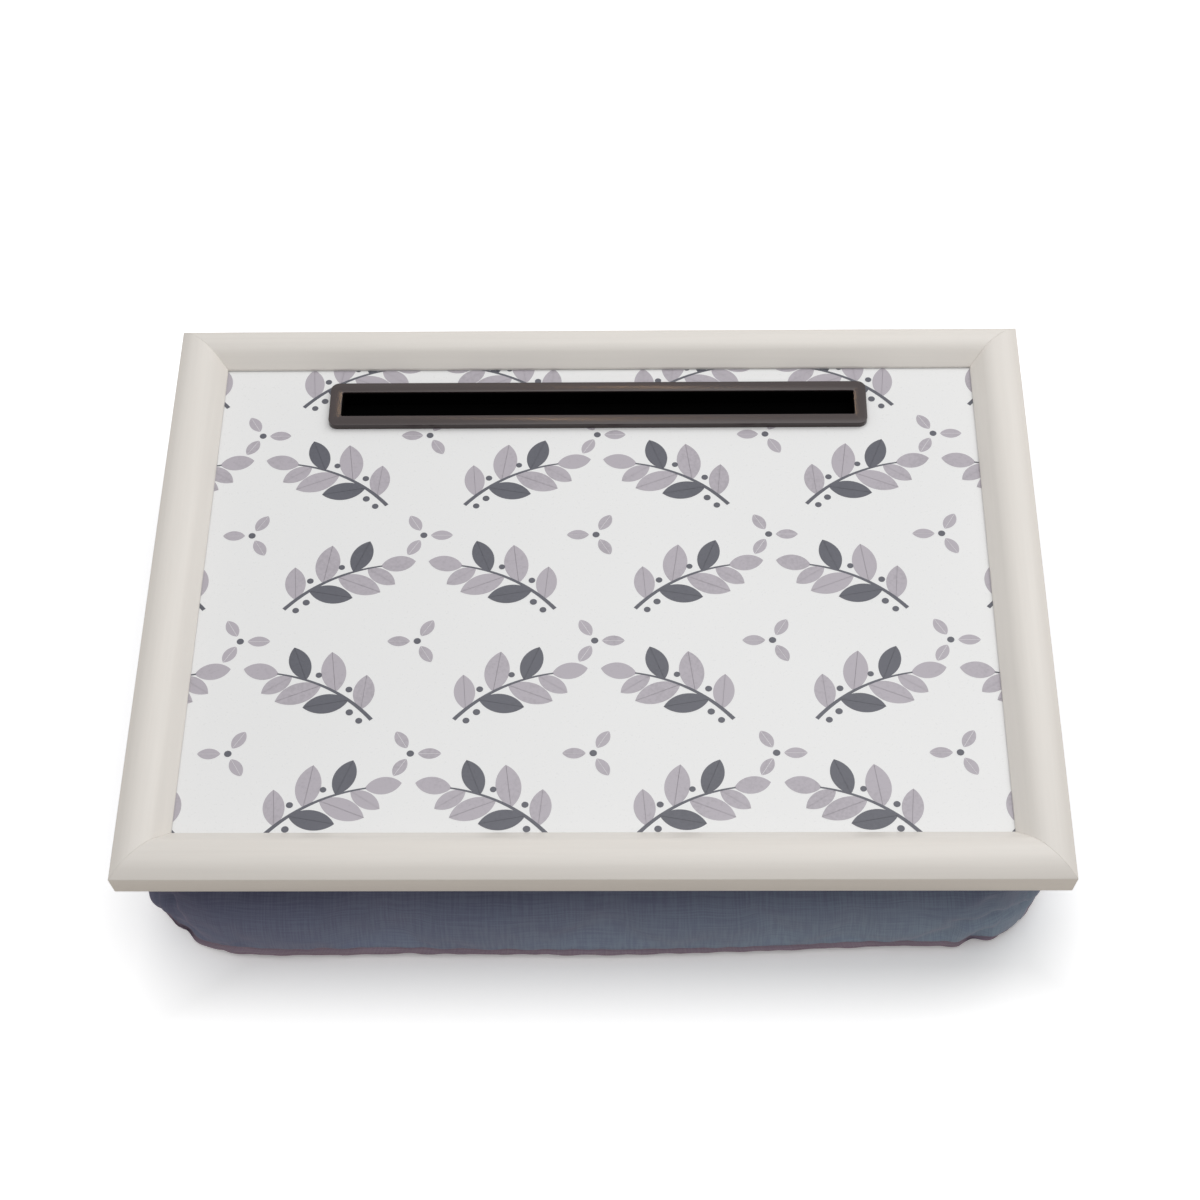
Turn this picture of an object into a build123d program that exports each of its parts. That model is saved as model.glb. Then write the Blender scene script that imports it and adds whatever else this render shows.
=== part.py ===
from build123d import *
import math
import os

# Lap tray with a cushion. Lengths are in millimetres.
# The origin is on the floor under the middle of the tray.
# X runs along the tray's long side, Y towards its back edge and Z up.

os.makedirs("parts", exist_ok=True)

# Tray
tray_width = 440.0
tray_depth = 340.0
frame_underside_height = 61.0

# Frame moulding, seen in section
arris_height = 12.0
side_undercut = 1.3
crown_rise = 7.0
crown_inset = 13.4
crown_outer_radius = 15.0
crown_inner_radius = 10.0
face_width = 26.0
sight_drop = 0.7
lip_thickness = 1.6
lip_overlap = 8.0

# Board and its printed sheet
board_thickness = 3.2
laminate_thickness = 0.8
board_clearance = 0.5

# Tablet slot
slot_length = 265.0
slot_width = 16.5
slot_back_distance = 52.0
slot_depth = 9.2
slot_wall = 1.5
slot_corner_radius = 1.0
rim_width = 6.2
rim_height = 3.2
rim_corner_radius = 4.5
rim_edge_round = 0.6
cutout_clearance = 0.5
nib_count = 5
nib_length = 12.0
nib_height = 2.6
nib_reach = 1.1
lining_thickness = 0.8
lining_drop = 0.8

# Nails in the mitred corners
v_nail_leg = 5.0
v_nail_thickness = 0.6
v_nail_height = 8.0
v_nail_outer_inset = 7.0
v_nail_inner_inset = 13.5

# Flat points that hold the board
point_length = 12.0
point_width = 6.0
point_thickness = 0.5
point_end_distance = 60.0
long_rail_point_count = 4
short_rail_point_count = 3

# Cushion cloth
cloth_thickness = 0.8
flange_inset = 5.0
flange_corner_radius = 8.0
top_inset = 12.5
top_bow = 0.6
top_corner_radius = 25.0
shoulder_inset = 8.5
shoulder_bow = 1.8
shoulder_corner_radius = 28.0
shoulder_drop = 8.0
belly_inset = 5.5
belly_bow = 3.0
belly_corner_radius = 34.0
belly_height = 34.0
seam_inset = 4.5
seam_bow = 3.5
seam_corner_radius = 42.0
seam_height = 7.0
roll_inset = 11.0
roll_bow = 3.5
roll_corner_radius = 40.0
roll_height = 2.4
base_inset = 27.0
base_bow = 3.0
base_corner_radius = 36.0
base_cut = 0.5
corner_wedge_share = 0.4
filling_clearance = 0.3

# Staples that hold the cushion to the frame
staple_crown = 10.0
staple_wire = 0.7
staple_leg = 8.0
staple_inset = 8.5
staple_end_distance = 32.0
long_rail_staple_count = 7
short_rail_staple_count = 5

# A cutting tool runs past what it cuts by this much
overrun = 1.0

# Places that follow from the sizes above
arris_level = frame_underside_height + arris_height
crown_level = arris_level + crown_rise
rebate_inset = face_width - lip_overlap
laminate_top = arris_level - sight_drop - lip_thickness
board_top = laminate_top - laminate_thickness
board_bottom = board_top - board_thickness
board_length = tray_width - 2 * (rebate_inset + board_clearance)
board_width = tray_depth - 2 * (rebate_inset + board_clearance)
slot_y = tray_depth / 2 - slot_back_distance
rim_top = laminate_top + rim_height
trough_length = slot_length + 2 * slot_wall
trough_width = slot_width + 2 * slot_wall
slot_floor = rim_top - slot_depth
trough_inner_floor = slot_floor - lining_thickness
trough_bottom = trough_inner_floor - slot_wall
cutout_length = trough_length + 2 * cutout_clearance
cutout_width = trough_width + 2 * cutout_clearance
cloth_top = frame_underside_height - cloth_thickness
corner_wedge = corner_wedge_share * tray_depth

rail_lengths = {"front": tray_width, "back": tray_width, "left": tray_depth, "right": tray_depth}
rail_distances = {
    "front": tray_depth / 2,
    "back": tray_depth / 2,
    "left": tray_width / 2,
    "right": tray_width / 2,
}
rail_turns = {"front": 0, "right": 90, "back": 180, "left": 270}


def block(length, width, bottom, top):
    """A box centred on the Z axis between two heights."""
    return Pos(0, 0, (bottom + top) / 2) * Box(length, width, top - bottom)


def rounded_block(length, width, radius, bottom, top):
    """A block with rounded upright corners."""
    outline = RectangleRounded(length, width, radius)
    return Pos(0, 0, bottom) * extrude(outline, amount=top - bottom)


def spread(count, end_distance, length):
    """Evenly spaced places along a rail, from one end distance to the other."""
    first = -length / 2 + end_distance
    step = (length - 2 * end_distance) / (count - 1)
    return [first + index * step for index in range(count)]


def beside_rail(name, shape):
    """Moves a shape from the working place, where y is the inset, to its own side."""
    return Rot(0, 0, rail_turns[name]) * Pos(0, -rail_distances[name], 0) * shape


def flank_end(edge_inset, edge_level, radius):
    """Where the straight flank from one edge of the moulding runs into its round crown."""
    centre_level = crown_level - radius
    run = crown_inset - edge_inset
    climb = edge_level - centre_level
    slope = math.asin(radius / math.hypot(run, climb)) - math.atan2(climb, abs(run))
    inset = crown_inset - math.copysign(radius * math.sin(slope), run)
    return (0, inset, centre_level + radius * math.cos(slope))


def moulding_section():
    """The section of a rail: y is the inset from the arris, z the height above the floor."""
    outer_foot = (0, side_undercut, frame_underside_height)
    arris = (0, 0, arris_level)
    outer_flank_end = flank_end(0, arris_level, crown_outer_radius)
    crown = (0, crown_inset, crown_level)
    inner_flank_end = flank_end(face_width, arris_level - sight_drop, crown_inner_radius)
    sight = (0, face_width, arris_level - sight_drop)
    lip_corner = (0, face_width, laminate_top)
    rebate_corner = (0, rebate_inset, laminate_top)
    rebate_foot = (0, rebate_inset, frame_underside_height)
    outline = [
        Line(outer_foot, arris),
        Line(arris, outer_flank_end),
        TangentArc(crown, outer_flank_end, tangent=(0, -1, 0)),
        TangentArc(crown, inner_flank_end, tangent=(0, 1, 0)),
        Line(inner_flank_end, sight),
        Line(sight, lip_corner),
        Line(lip_corner, rebate_corner),
        Line(rebate_corner, rebate_foot),
        Line(rebate_foot, outer_foot),
    ]
    return Face(Wire(outline))


def mitre_block(length):
    """The space that a rail may fill between its two mitres."""
    corners = [
        (-length / 2, 0),
        (length / 2, 0),
        (length / 2 - face_width - overrun, face_width + overrun),
        (-length / 2 + face_width + overrun, face_width + overrun),
    ]
    plan = make_face(Polyline(*corners, close=True))
    return Pos(0, 0, frame_underside_height - overrun) * extrude(plan, amount=crown_level)


def staple(place):
    """One staple, driven up through the cloth flange into the rail."""
    crown_bottom = cloth_top - staple_wire
    leg_top = crown_bottom + staple_leg
    crown = block(staple_crown, staple_wire, crown_bottom, cloth_top)
    leg = block(staple_wire, staple_wire, crown_bottom, leg_top)
    reach = (staple_crown - staple_wire) / 2
    shape = crown + Pos(-reach, 0, 0) * leg + Pos(reach, 0, 0) * leg
    return Pos(place, staple_inset, 0) * shape


def board_point(place):
    """One flat point, half in the rail and half under the board."""
    plate = block(point_width, point_length, board_bottom - point_thickness, board_bottom)
    return Pos(place, rebate_inset, 0) * plate


def v_nail(inset):
    """One V nail, with its fold on the mitre at the left end of the front rail."""
    leg_along = Pos((v_nail_leg - v_nail_thickness) / 2, 0, 0) * block(
        v_nail_leg, v_nail_thickness, frame_underside_height, frame_underside_height + v_nail_height
    )
    leg_across = Pos(0, (v_nail_leg - v_nail_thickness) / 2, 0) * block(
        v_nail_thickness, v_nail_leg, frame_underside_height, frame_underside_height + v_nail_height
    )
    return Pos(inset, inset, 0) * (leg_along + leg_across)


def corner_v_nails():
    """Two nails in each of the four mitres."""
    nails = []
    corners = [(-1, -1, 0), (1, -1, 90), (1, 1, 180), (-1, 1, 270)]
    for side_x, side_y, turn in corners:
        corner = Pos(side_x * tray_width / 2, side_y * tray_depth / 2, 0) * Rot(0, 0, turn)
        nails.append(corner * v_nail(v_nail_outer_inset))
        nails.append(corner * v_nail(v_nail_inner_inset))
    return nails


def fasteners_beside(name):
    """The staples and the board points of one rail."""
    length = rail_lengths[name]
    is_long = name in ("front", "back")
    staple_count = long_rail_staple_count if is_long else short_rail_staple_count
    point_count = long_rail_point_count if is_long else short_rail_point_count
    staples = [staple(place) for place in spread(staple_count, staple_end_distance, length)]
    points = [board_point(place) for place in spread(point_count, point_end_distance, length)]
    return (
        [beside_rail(name, shape) for shape in staples],
        [beside_rail(name, shape) for shape in points],
    )


def rail(name, staples, points, nails):
    """One mitred rail, with a seat for each fastener that is driven into it."""
    length = rail_lengths[name]
    bar = Pos(-length / 2, 0, 0) * extrude(moulding_section(), amount=length, dir=(1, 0, 0))
    shape = beside_rail(name, bar & mitre_block(length))
    for fastener in staples + points + nails:
        shape = shape - fastener
    return shape


def sheet_with_cutout(bottom, top):
    """A board-sized sheet with the cut-out for the slot."""
    sheet = block(board_length, board_width, bottom, top)
    cutout = rounded_block(
        cutout_length,
        cutout_width,
        slot_corner_radius + slot_wall + cutout_clearance,
        bottom - overrun,
        top + overrun,
    )
    return sheet - Pos(0, slot_y, 0) * cutout


def snap_nib():
    """A wedge under the board: flat on top, running out down the trough's wall."""
    section = [
        (0, 0, board_bottom),
        (0, -nib_reach, board_bottom),
        (0, 0, board_bottom - nib_height),
    ]
    wedge = extrude(make_face(Polyline(*section, close=True)), amount=nib_length / 2, both=True)
    return Pos(0, -trough_width / 2, 0) * wedge


def slot_insert():
    """The moulded trough with its rim and the nibs that catch under the board."""
    rim = rounded_block(
        slot_length + 2 * rim_width,
        slot_width + 2 * rim_width,
        rim_corner_radius,
        laminate_top,
        rim_top,
    )
    rim = fillet(rim.edges().group_by(Axis.Z)[-1], radius=rim_edge_round)
    trough = rounded_block(
        trough_length, trough_width, slot_corner_radius + slot_wall, trough_bottom, laminate_top
    )
    hollow = rounded_block(
        slot_length, slot_width, slot_corner_radius, trough_inner_floor, rim_top + overrun
    )
    shape = rim + trough - hollow
    for place in spread(nib_count, slot_wall + nib_length, trough_length):
        shape = shape + Pos(place, 0, 0) * snap_nib()
        shape = shape + Pos(place, 0, 0) * Rot(0, 0, 180) * snap_nib()
    return Pos(0, slot_y, 0) * shape


def slot_lining():
    """The lining of the trough: a floor and four low walls."""
    lining_top = rim_top - lining_drop
    outer = rounded_block(
        slot_length, slot_width, slot_corner_radius, trough_inner_floor, lining_top
    )
    hollow = block(
        slot_length - 2 * lining_thickness,
        slot_width - 2 * lining_thickness,
        slot_floor,
        lining_top + overrun,
    )
    return Pos(0, slot_y, 0) * (outer - hollow)


def cushion_level(inset, bow, corner_radius, height):
    """One level of the cushion: four bowed sides joined by corner arcs."""
    half_width = tray_width / 2 - inset
    half_depth = tray_depth / 2 - inset
    straight_x = half_width - corner_radius
    straight_y = half_depth - corner_radius
    diagonal = corner_radius * math.sqrt(0.5)
    starts = [
        (-straight_x, -half_depth),
        (half_width, -straight_y),
        (straight_x, half_depth),
        (-half_width, straight_y),
    ]
    ends = [
        (straight_x, -half_depth),
        (half_width, straight_y),
        (-straight_x, half_depth),
        (-half_width, -straight_y),
    ]
    side_middles = [
        (0, -half_depth - bow),
        (half_width + bow, 0),
        (0, half_depth + bow),
        (-half_width - bow, 0),
    ]
    corner_middles = [
        (straight_x + diagonal, -straight_y - diagonal),
        (straight_x + diagonal, straight_y + diagonal),
        (-straight_x - diagonal, straight_y + diagonal),
        (-straight_x - diagonal, -straight_y - diagonal),
    ]
    edges = []
    for index in range(4):
        following = (index + 1) % 4
        edges.append(ThreePointArc(starts[index], side_middles[index], ends[index]))
        edges.append(ThreePointArc(ends[index], corner_middles[index], starts[following]))
    return Pos(0, 0, height) * Wire(edges)


def cushion_upper(shrink):
    """The cushion above its base seam, smaller all round by the given amount."""
    shoulder_height = frame_underside_height - shoulder_drop
    levels = [
        cushion_level(seam_inset + shrink, seam_bow, seam_corner_radius, seam_height),
        cushion_level(belly_inset + shrink, belly_bow, belly_corner_radius, belly_height),
        cushion_level(shoulder_inset + shrink, shoulder_bow, shoulder_corner_radius, shoulder_height),
        cushion_level(top_inset + shrink, top_bow, top_corner_radius, cloth_top),
    ]
    return Solid.make_loft(levels, ruled=True)


def cushion_lower(shrink, floor_height):
    """The cushion below its base seam, where it rolls under to the floor."""
    levels = [
        cushion_level(base_inset + shrink, base_bow, base_corner_radius, floor_height),
        cushion_level(roll_inset + shrink, roll_bow, roll_corner_radius, roll_height + shrink),
        cushion_level(seam_inset + shrink, seam_bow, seam_corner_radius, seam_height),
    ]
    return Solid.make_loft(levels, ruled=True)


def side_wedge(name):
    """The space of one border between the two seams that run down the corners."""
    length = rail_lengths[name]
    reach = seam_bow + overrun
    corners = [
        (-length / 2 - reach, -reach),
        (length / 2 + reach, -reach),
        (length / 2 - corner_wedge, corner_wedge),
        (-length / 2 + corner_wedge, corner_wedge),
    ]
    plan = make_face(Polyline(*corners, close=True))
    return beside_rail(name, extrude(plan, amount=cloth_top))


def cushion_borders():
    """The four cloth side walls, which meet at the corner seams."""
    ring = cushion_upper(0) - cushion_upper(cloth_thickness)
    return {name: ring & side_wedge(name) for name in rail_turns}


def cushion_base_panel():
    """The cloth underside: it rolls in from the seam and lies flat on the floor."""
    outer = cushion_lower(0, -base_cut)
    outer = outer & block(tray_width, tray_depth, 0, seam_height)
    return outer - cushion_lower(cloth_thickness, cloth_thickness)


def bead_filling():
    """The loose beads, as one body just inside the cloth."""
    shrink = cloth_thickness + filling_clearance
    levels = [
        cushion_level(seam_inset + shrink, seam_bow, seam_corner_radius, seam_height),
        cushion_level(top_inset + shrink, top_bow, top_corner_radius, cloth_top - filling_clearance),
    ]
    return Solid.make_loft(levels, ruled=True) + cushion_lower(shrink, shrink)


def cushion_top_panel(staples):
    """The cloth under the tray, whose flange is stapled to the rails."""
    panel = rounded_block(
        tray_width - 2 * flange_inset,
        tray_depth - 2 * flange_inset,
        flange_corner_radius,
        cloth_top,
        frame_underside_height,
    )
    for fastener in staples:
        panel = panel - fastener
    return panel


def write(name, shape):
    """Writes one node."""
    export_step(shape, "parts/" + name + ".step")


nails = corner_v_nails()
all_staples = []
all_points = []
for rail_name in rail_turns:
    rail_staples, rail_points = fasteners_beside(rail_name)
    write("rail_" + rail_name, rail(rail_name, rail_staples, rail_points, nails))
    all_staples.extend(rail_staples)
    all_points.extend(rail_points)

write("corner_v_nails", Compound(children=nails))
write("board_points", Compound(children=all_points))
write("cushion_staples", Compound(children=all_staples))
write("tray_board", sheet_with_cutout(board_bottom, board_top))
write("printed_laminate", sheet_with_cutout(board_top, laminate_top))
write("slot_insert", slot_insert())
write("slot_lining", slot_lining())
write("cushion_top_panel", cushion_top_panel(all_staples))
for border_name, border in cushion_borders().items():
    write("cushion_" + border_name + "_border", border)
write("cushion_base_panel", cushion_base_panel())
write("bead_filling", bead_filling())
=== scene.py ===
import math

import bmesh
import bpy
from mathutils import Matrix, Vector, noise


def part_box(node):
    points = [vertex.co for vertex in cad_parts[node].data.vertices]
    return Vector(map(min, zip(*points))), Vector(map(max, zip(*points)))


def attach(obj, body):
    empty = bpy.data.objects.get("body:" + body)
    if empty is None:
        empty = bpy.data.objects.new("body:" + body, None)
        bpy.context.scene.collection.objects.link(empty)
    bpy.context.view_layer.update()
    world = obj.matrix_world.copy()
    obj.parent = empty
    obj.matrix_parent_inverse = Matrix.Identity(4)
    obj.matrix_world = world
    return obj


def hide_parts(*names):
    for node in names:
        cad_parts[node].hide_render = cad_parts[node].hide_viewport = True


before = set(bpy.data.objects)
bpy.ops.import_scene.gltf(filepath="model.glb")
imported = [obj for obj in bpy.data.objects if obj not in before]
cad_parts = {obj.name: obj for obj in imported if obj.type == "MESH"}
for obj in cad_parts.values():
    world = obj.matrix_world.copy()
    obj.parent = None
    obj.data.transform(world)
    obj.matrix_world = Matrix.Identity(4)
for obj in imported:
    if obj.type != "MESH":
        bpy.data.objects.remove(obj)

bl_info = {
    "name": "Lap tray with cushion",
    "version": (1, 0, 0),
    "blender": (4, 5, 0),
    "location": "3D View > Sidebar > Lap Tray",
    "description": "Models the painted frame, printed board, tablet slot and cushion of a lap tray",
    "category": "Add Mesh",
}

MM = 0.001
# Height of one layer of the flat print, so that shapes that cross aren't in one plane
LAYER_STEP = 0.01 * MM
# Points closer than this are merged, and points closer than the tolerance match
MERGE_DISTANCE = MM / 100
TOLERANCE = MM / 20
# What each end of a bar has to spare before its mitre is cut
MITRE_SPARE = 10 * MM
# Faces that meet at less than this are shaded as one: on a rail, the slot and the flange
RAIL_SMOOTH = math.radians(28)
SLOT_SMOOTH = math.radians(35)
SHEET_SMOOTH = math.radians(50)
# Edges of the slot that are sharper than this are rounded
SLOT_SHARP = math.radians(50)

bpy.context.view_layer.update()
RAIL_LOW, RAIL_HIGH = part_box("rail_front")
SLOT_LOW, SLOT_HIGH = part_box("slot_insert")
FLANGE_LOW, FLANGE_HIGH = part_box("cushion_top_panel")
SHEET_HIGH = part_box("printed_laminate")[1]
BOARD_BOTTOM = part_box("tray_board")[0].z
LINING_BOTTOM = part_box("slot_lining")[0].z
BASE_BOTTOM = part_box("cushion_base_panel")[0].z
TRAY_HALF_WIDTH = RAIL_HIGH.x
TRAY_HALF_DEPTH = -RAIL_LOW.y
FACE_WIDTH = RAIL_HIGH.y - RAIL_LOW.y
UNDERSIDE = RAIL_LOW.z
CROWN = RAIL_HIGH.z
SHEET_TOP = SHEET_HIGH.z
SLOT_MIDDLE = (SLOT_LOW + SLOT_HIGH) / 2

# Leaves on a sprig: share of the stem, side, share of the full size, and whether in dark ink
SIDE_LEAVES = (
    (0.14, 1, 0.85, False),
    (0.29, -1, 0.92, True),
    (0.44, 1, 1.00, False),
    (0.59, -1, 0.98, False),
    (0.74, 1, 0.86, True),
    (0.87, -1, 0.72, False),
)
# The leaf at a sprig's tip: share of the stem, of the full length and of the full width
TIP_LEAF = (0.99, 0.72, 0.80)
# In a cluster: share of a leaf's full length and width, and of the full size of a bud
CLUSTER_LEAF = (0.46, 0.5)
CLUSTER_BUD = 0.8
# How far a bud stands from its stem, and a cluster's leaves from its bud, in radii of a bud
BUD_REACH = 2.2
CLUSTER_REACH = 1.6
# Share of its width that a stem loses towards its tip
STEM_TAPER = 0.6
# Buds on a sprig: share of the stem, side and share of the full size
BUDS = ((0.36, 1, 0.75), (0.19, -1, 0.8), (0.66, 1, 0.7), (0.06, -1, 0.75))

# A snap nib: how deep it sits in the wall, and share of its reach that its lower edge lacks
NIB_SUNK = 0.4 * MM
NIB_SLANT = 0.95
# How far the first nib's middle stands from the slot's end, in widths of the rim
NIB_MARGIN = 3

# Past this share of its half side, a point lies on that side of the cube for the bag
AT_EDGE = 0.9999
# How firmly the filling's push is resisted at the base seam, and just inside it
SEAM_GRIP = 0.75
BASE_GRIP = 0.2
# How strongly the upright corner seams are stitched, against 1 at the base seam
CORNER_STITCH = 0.7
# Under the rails: how far each side's middle stands out
TOP_BOW = 0.6 * MM
# At the shoulder and the belly: share of the seam's bow, and what the corner radius gains
SHOULDER_SHAPE = (0.5, 4 * MM)
BELLY_SHAPE = (0.85, 15 * MM)
# The base seam's wander: how far it reaches up and down, its waves per metre and its slice
SEAM_REACH = 6 * MM
SEAM_WAVES = 13
SEAM_SLICE = 3.7

# Creases of the cushion in mm: side along x and y, the points that each runs through, width, depth
CREASES = (
    (1, -1, ((163, 164, 12), (174, 164, 27), (188, 161, 27), (203, 149, 21)), 5.0, -1.5),
    (1, -1, ((158, 165, 14), (168, 164, 28), (182, 162, 42)), 6.0, -1.2),
    (1, -1, ((179, 161, 3), (182, 160, 12)), 7.0, -2.2),
    (-1, -1, ((196, 159, 50), (198, 158, 36), (195, 160, 20)), 5.0, -1.6),
    (-1, -1, ((196, 157, 4), (192, 160, 12)), 6.5, -1.7),
    (-1, -1, ((168, 164, 12), (150, 165, 22)), 7.0, -0.7),
    (1, 1, ((166, 164, 12), (180, 162, 26), (196, 157, 34)), 6.0, -1.5),
    (1, 1, ((204, 148, 10), (206, 140, 26)), 6.0, -1.4),
    (-1, 1, ((170, 164, 12), (184, 162, 24), (200, 152, 30)), 6.0, -1.6),
    (-1, 1, ((205, 146, 8), (208, 132, 24)), 6.0, -1.3),
    (1, -1, ((212, 120, 10), (214, 100, 26)), 7.0, -1.0),
    (-1, -1, ((212, 124, 12), (214, 104, 24)), 7.0, -1.1),
)
# Swellings in mm: the middle, how far each reaches and how high it stands, below 0 for a hollow
SWELLINGS = (
    ((-207, -151, 24), 10.0, 5.4),
    ((-203, -155, 7), 9.0, -2.0),
    ((203, -151, 26), 20.0, 2.8),
    ((200, 154, 24), 16.0, 2.0),
    ((-201, 153, 22), 16.0, 2.0),
)
# How high a crease's lips stand against its depth, and how far below the rails it fades out
CREASE_LIPS = 1.6
CREASE_FADE = 8 * MM
# Creases start past these shares of the half width and the half depth
CREASED_FROM = (0.6, 0.5)

# Along the front, from -1 to 1: where its foot stands out or lies further in, and over what reach
LEFT_FOOT_PLACE, LEFT_FOOT_REACH = -0.68, 0.2
LEAN_PLACE, LEAN_REACH = 0.65, 0.4

# The flange: its cells, how far it draws in everywhere and more between the staples
FLANGE_CELLS = (144, 110)
DRAWN_IN = 0.3 * MM
PULLED_IN = 0.5 * MM
# Its frayed edge: how far it wanders, and its waves per metre
FRAY = 0.3 * MM
FRAY_WAVES = 90

# The weave's waves per metre, across a thread and along it
THREAD_WAVES = (2600.0, 90.0)
# Heights between which painted shade darkens the cushion's cloth towards the rails, standing in for the
# shade under their overhang
PAINTED_SHADE_FROM = 6 * MM
PAINTED_SHADE_TO = FLANGE_LOW.z - 12 * MM

# The floor's glow, painted light seen only by the camera, along an axis: shift, start and end of its
# rise, and its strength at both
GLOW_RISES = (
    ("X", 20 * MM, 185 * MM, 238 * MM, 0.175, 0.46),
    ("Y", 0.0, 170 * MM, 205 * MM, 0.16, 0.40),
)
# The same by distance from the middle, for the floor far off
FAR_GLOW = (0.35, 1.2, 0.1, 1.0)

WHITE = (1, 1, 1, 1)
# The floor's colour in the light that it throws back at the tray
THROWN_COLOUR = (0.78, 0.725, 0.665, 1)
BULB_COLOUR = (1.0, 0.62, 0.32)
KEY_PLACE = (0.12, 0.18, 2.0)
SIDE_PLACE = (1.3, 1.1, 1.5)
# The small warm lamp lights the slot moulding alone, where the glossy rim mirrors it to the camera
BULB_PLACE = (-0.075, 1.54, 1.66)
LAMP_TARGET = (0, 0, 0.05)


def number_prop(name, description, default, **more):
    """A number that the user can change."""
    return bpy.props.FloatProperty(name=name, description=description, default=default, **more)


def length_prop(name, description, default):
    """A length that the user can change."""
    return number_prop(name, description, default, unit="LENGTH")


def share_prop(name, description, default, highest):
    """A share that the user can change, from 0 up."""
    return number_prop(name, description, default, subtype="FACTOR", min=0, max=highest)


def angle_prop(name, description, degrees):
    """An angle that the user can change."""
    return number_prop(name, description, math.radians(degrees), subtype="ANGLE")


def strength_prop(name, description, default):
    """A power or a strength that the user can change, from 0 up."""
    return number_prop(name, description, default, min=0)


def count_prop(name, description, default, lowest):
    """A count that the user can change."""
    return bpy.props.IntProperty(name=name, description=description, default=default, min=lowest)


def colour_prop(name, description, default):
    """A colour that the user can change."""
    return bpy.props.FloatVectorProperty(
        name=name, description=description, default=default, subtype="COLOR", size=3)


class FrameSizes(bpy.types.PropertyGroup):
    """Sizes of the frame's moulding."""

    arris_height: length_prop("Arris height", "From the underside to the widest edge", 12 * MM)
    side_undercut: length_prop("Side undercut", "How far the side slopes in below the arris", 1.3 * MM)
    crown_inset: length_prop("Crown inset", "From the arris in to the highest line", 13.4 * MM)
    crown_outer_radius: length_prop("Outer crown radius", "Rounding from the outer flank", 15 * MM)
    crown_inner_radius: length_prop("Inner crown radius", "Rounding to the inner flank", 10 * MM)
    sight_drop: length_prop("Sight drop", "How far the inner edge lies below the arris", 0.7 * MM)
    lip_overlap: length_prop("Lip overlap", "How far the lip reaches over the board", 8 * MM)
    shadow_gap: length_prop("Shadow gap", "Height of the dark line between lip and board", 0.5 * MM)
    shadow_depth: length_prop("Shadow depth", "How far that gap goes in under the lip", 1.2 * MM)
    edge_round: length_prop("Edge round", "What sanding and paint leave on the long edges", 0.35 * MM)
    mitre_round: length_prop("Mitre round", "Rounding of each side of a mitre's fine line", 0.22 * MM)
    arc_steps: count_prop("Arc steps", "Facets on each side of the round crown", 12, 4)


class PrintSizes(bpy.types.PropertyGroup):
    """Sizes of the leaf print on the board."""

    stem_length: length_prop("Stem length", "Length of one sprig", 54 * MM)
    stem_width: length_prop("Stem width", "Width of a sprig's stem", 2.0 * MM)
    stem_rise: length_prop("Stem rise", "How far the stem bows out", 5 * MM)
    leaf_length: length_prop("Leaf length", "Length of the largest leaf", 24 * MM)
    leaf_width: length_prop("Leaf width", "Width of the largest leaf", 12 * MM)
    leaf_spread: angle_prop("Leaf spread", "Between the stem and a side leaf", 50)
    bud_radius: length_prop("Bud radius", "Radius of a round bud", 2.2 * MM)
    column_spacing: length_prop("Column spacing", "From one sprig to the next along the tray", 86 * MM)
    row_spacing: length_prop("Row spacing", "From one row of sprigs to the next", 66 * MM)
    tilt: angle_prop("Tilt", "Turn of a sprig, to the other side on every second one", 30)
    ink_thickness: length_prop("Ink thickness", "How far the print stands on the sheet", 0.03 * MM)


class SlotSizes(bpy.types.PropertyGroup):
    """Sizes of the tablet slot's moulding."""

    rim_width: length_prop("Rim width", "Width of the rim round the opening", 6.2 * MM)
    rim_corner: length_prop("Rim corner", "Radius of the rim's outer corners", 4.5 * MM)
    inner_corner: length_prop("Inner corner", "Radius of the opening's corners", 1 * MM)
    wall: length_prop("Wall", "Thickness of the trough's walls", 1.5 * MM)
    edge_round: length_prop("Edge round", "Rounding of the moulded edges", 0.5 * MM)
    nib_count: count_prop("Nibs", "Snap nibs on each long wall", 5, 2)
    nib_length: length_prop("Nib length", "Length of a snap nib along the wall", 12 * MM)
    nib_height: length_prop("Nib height", "Height of a snap nib below the board", 2.6 * MM)
    nib_reach: length_prop("Nib reach", "How far a snap nib stands out from the wall", 1.1 * MM)


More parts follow.
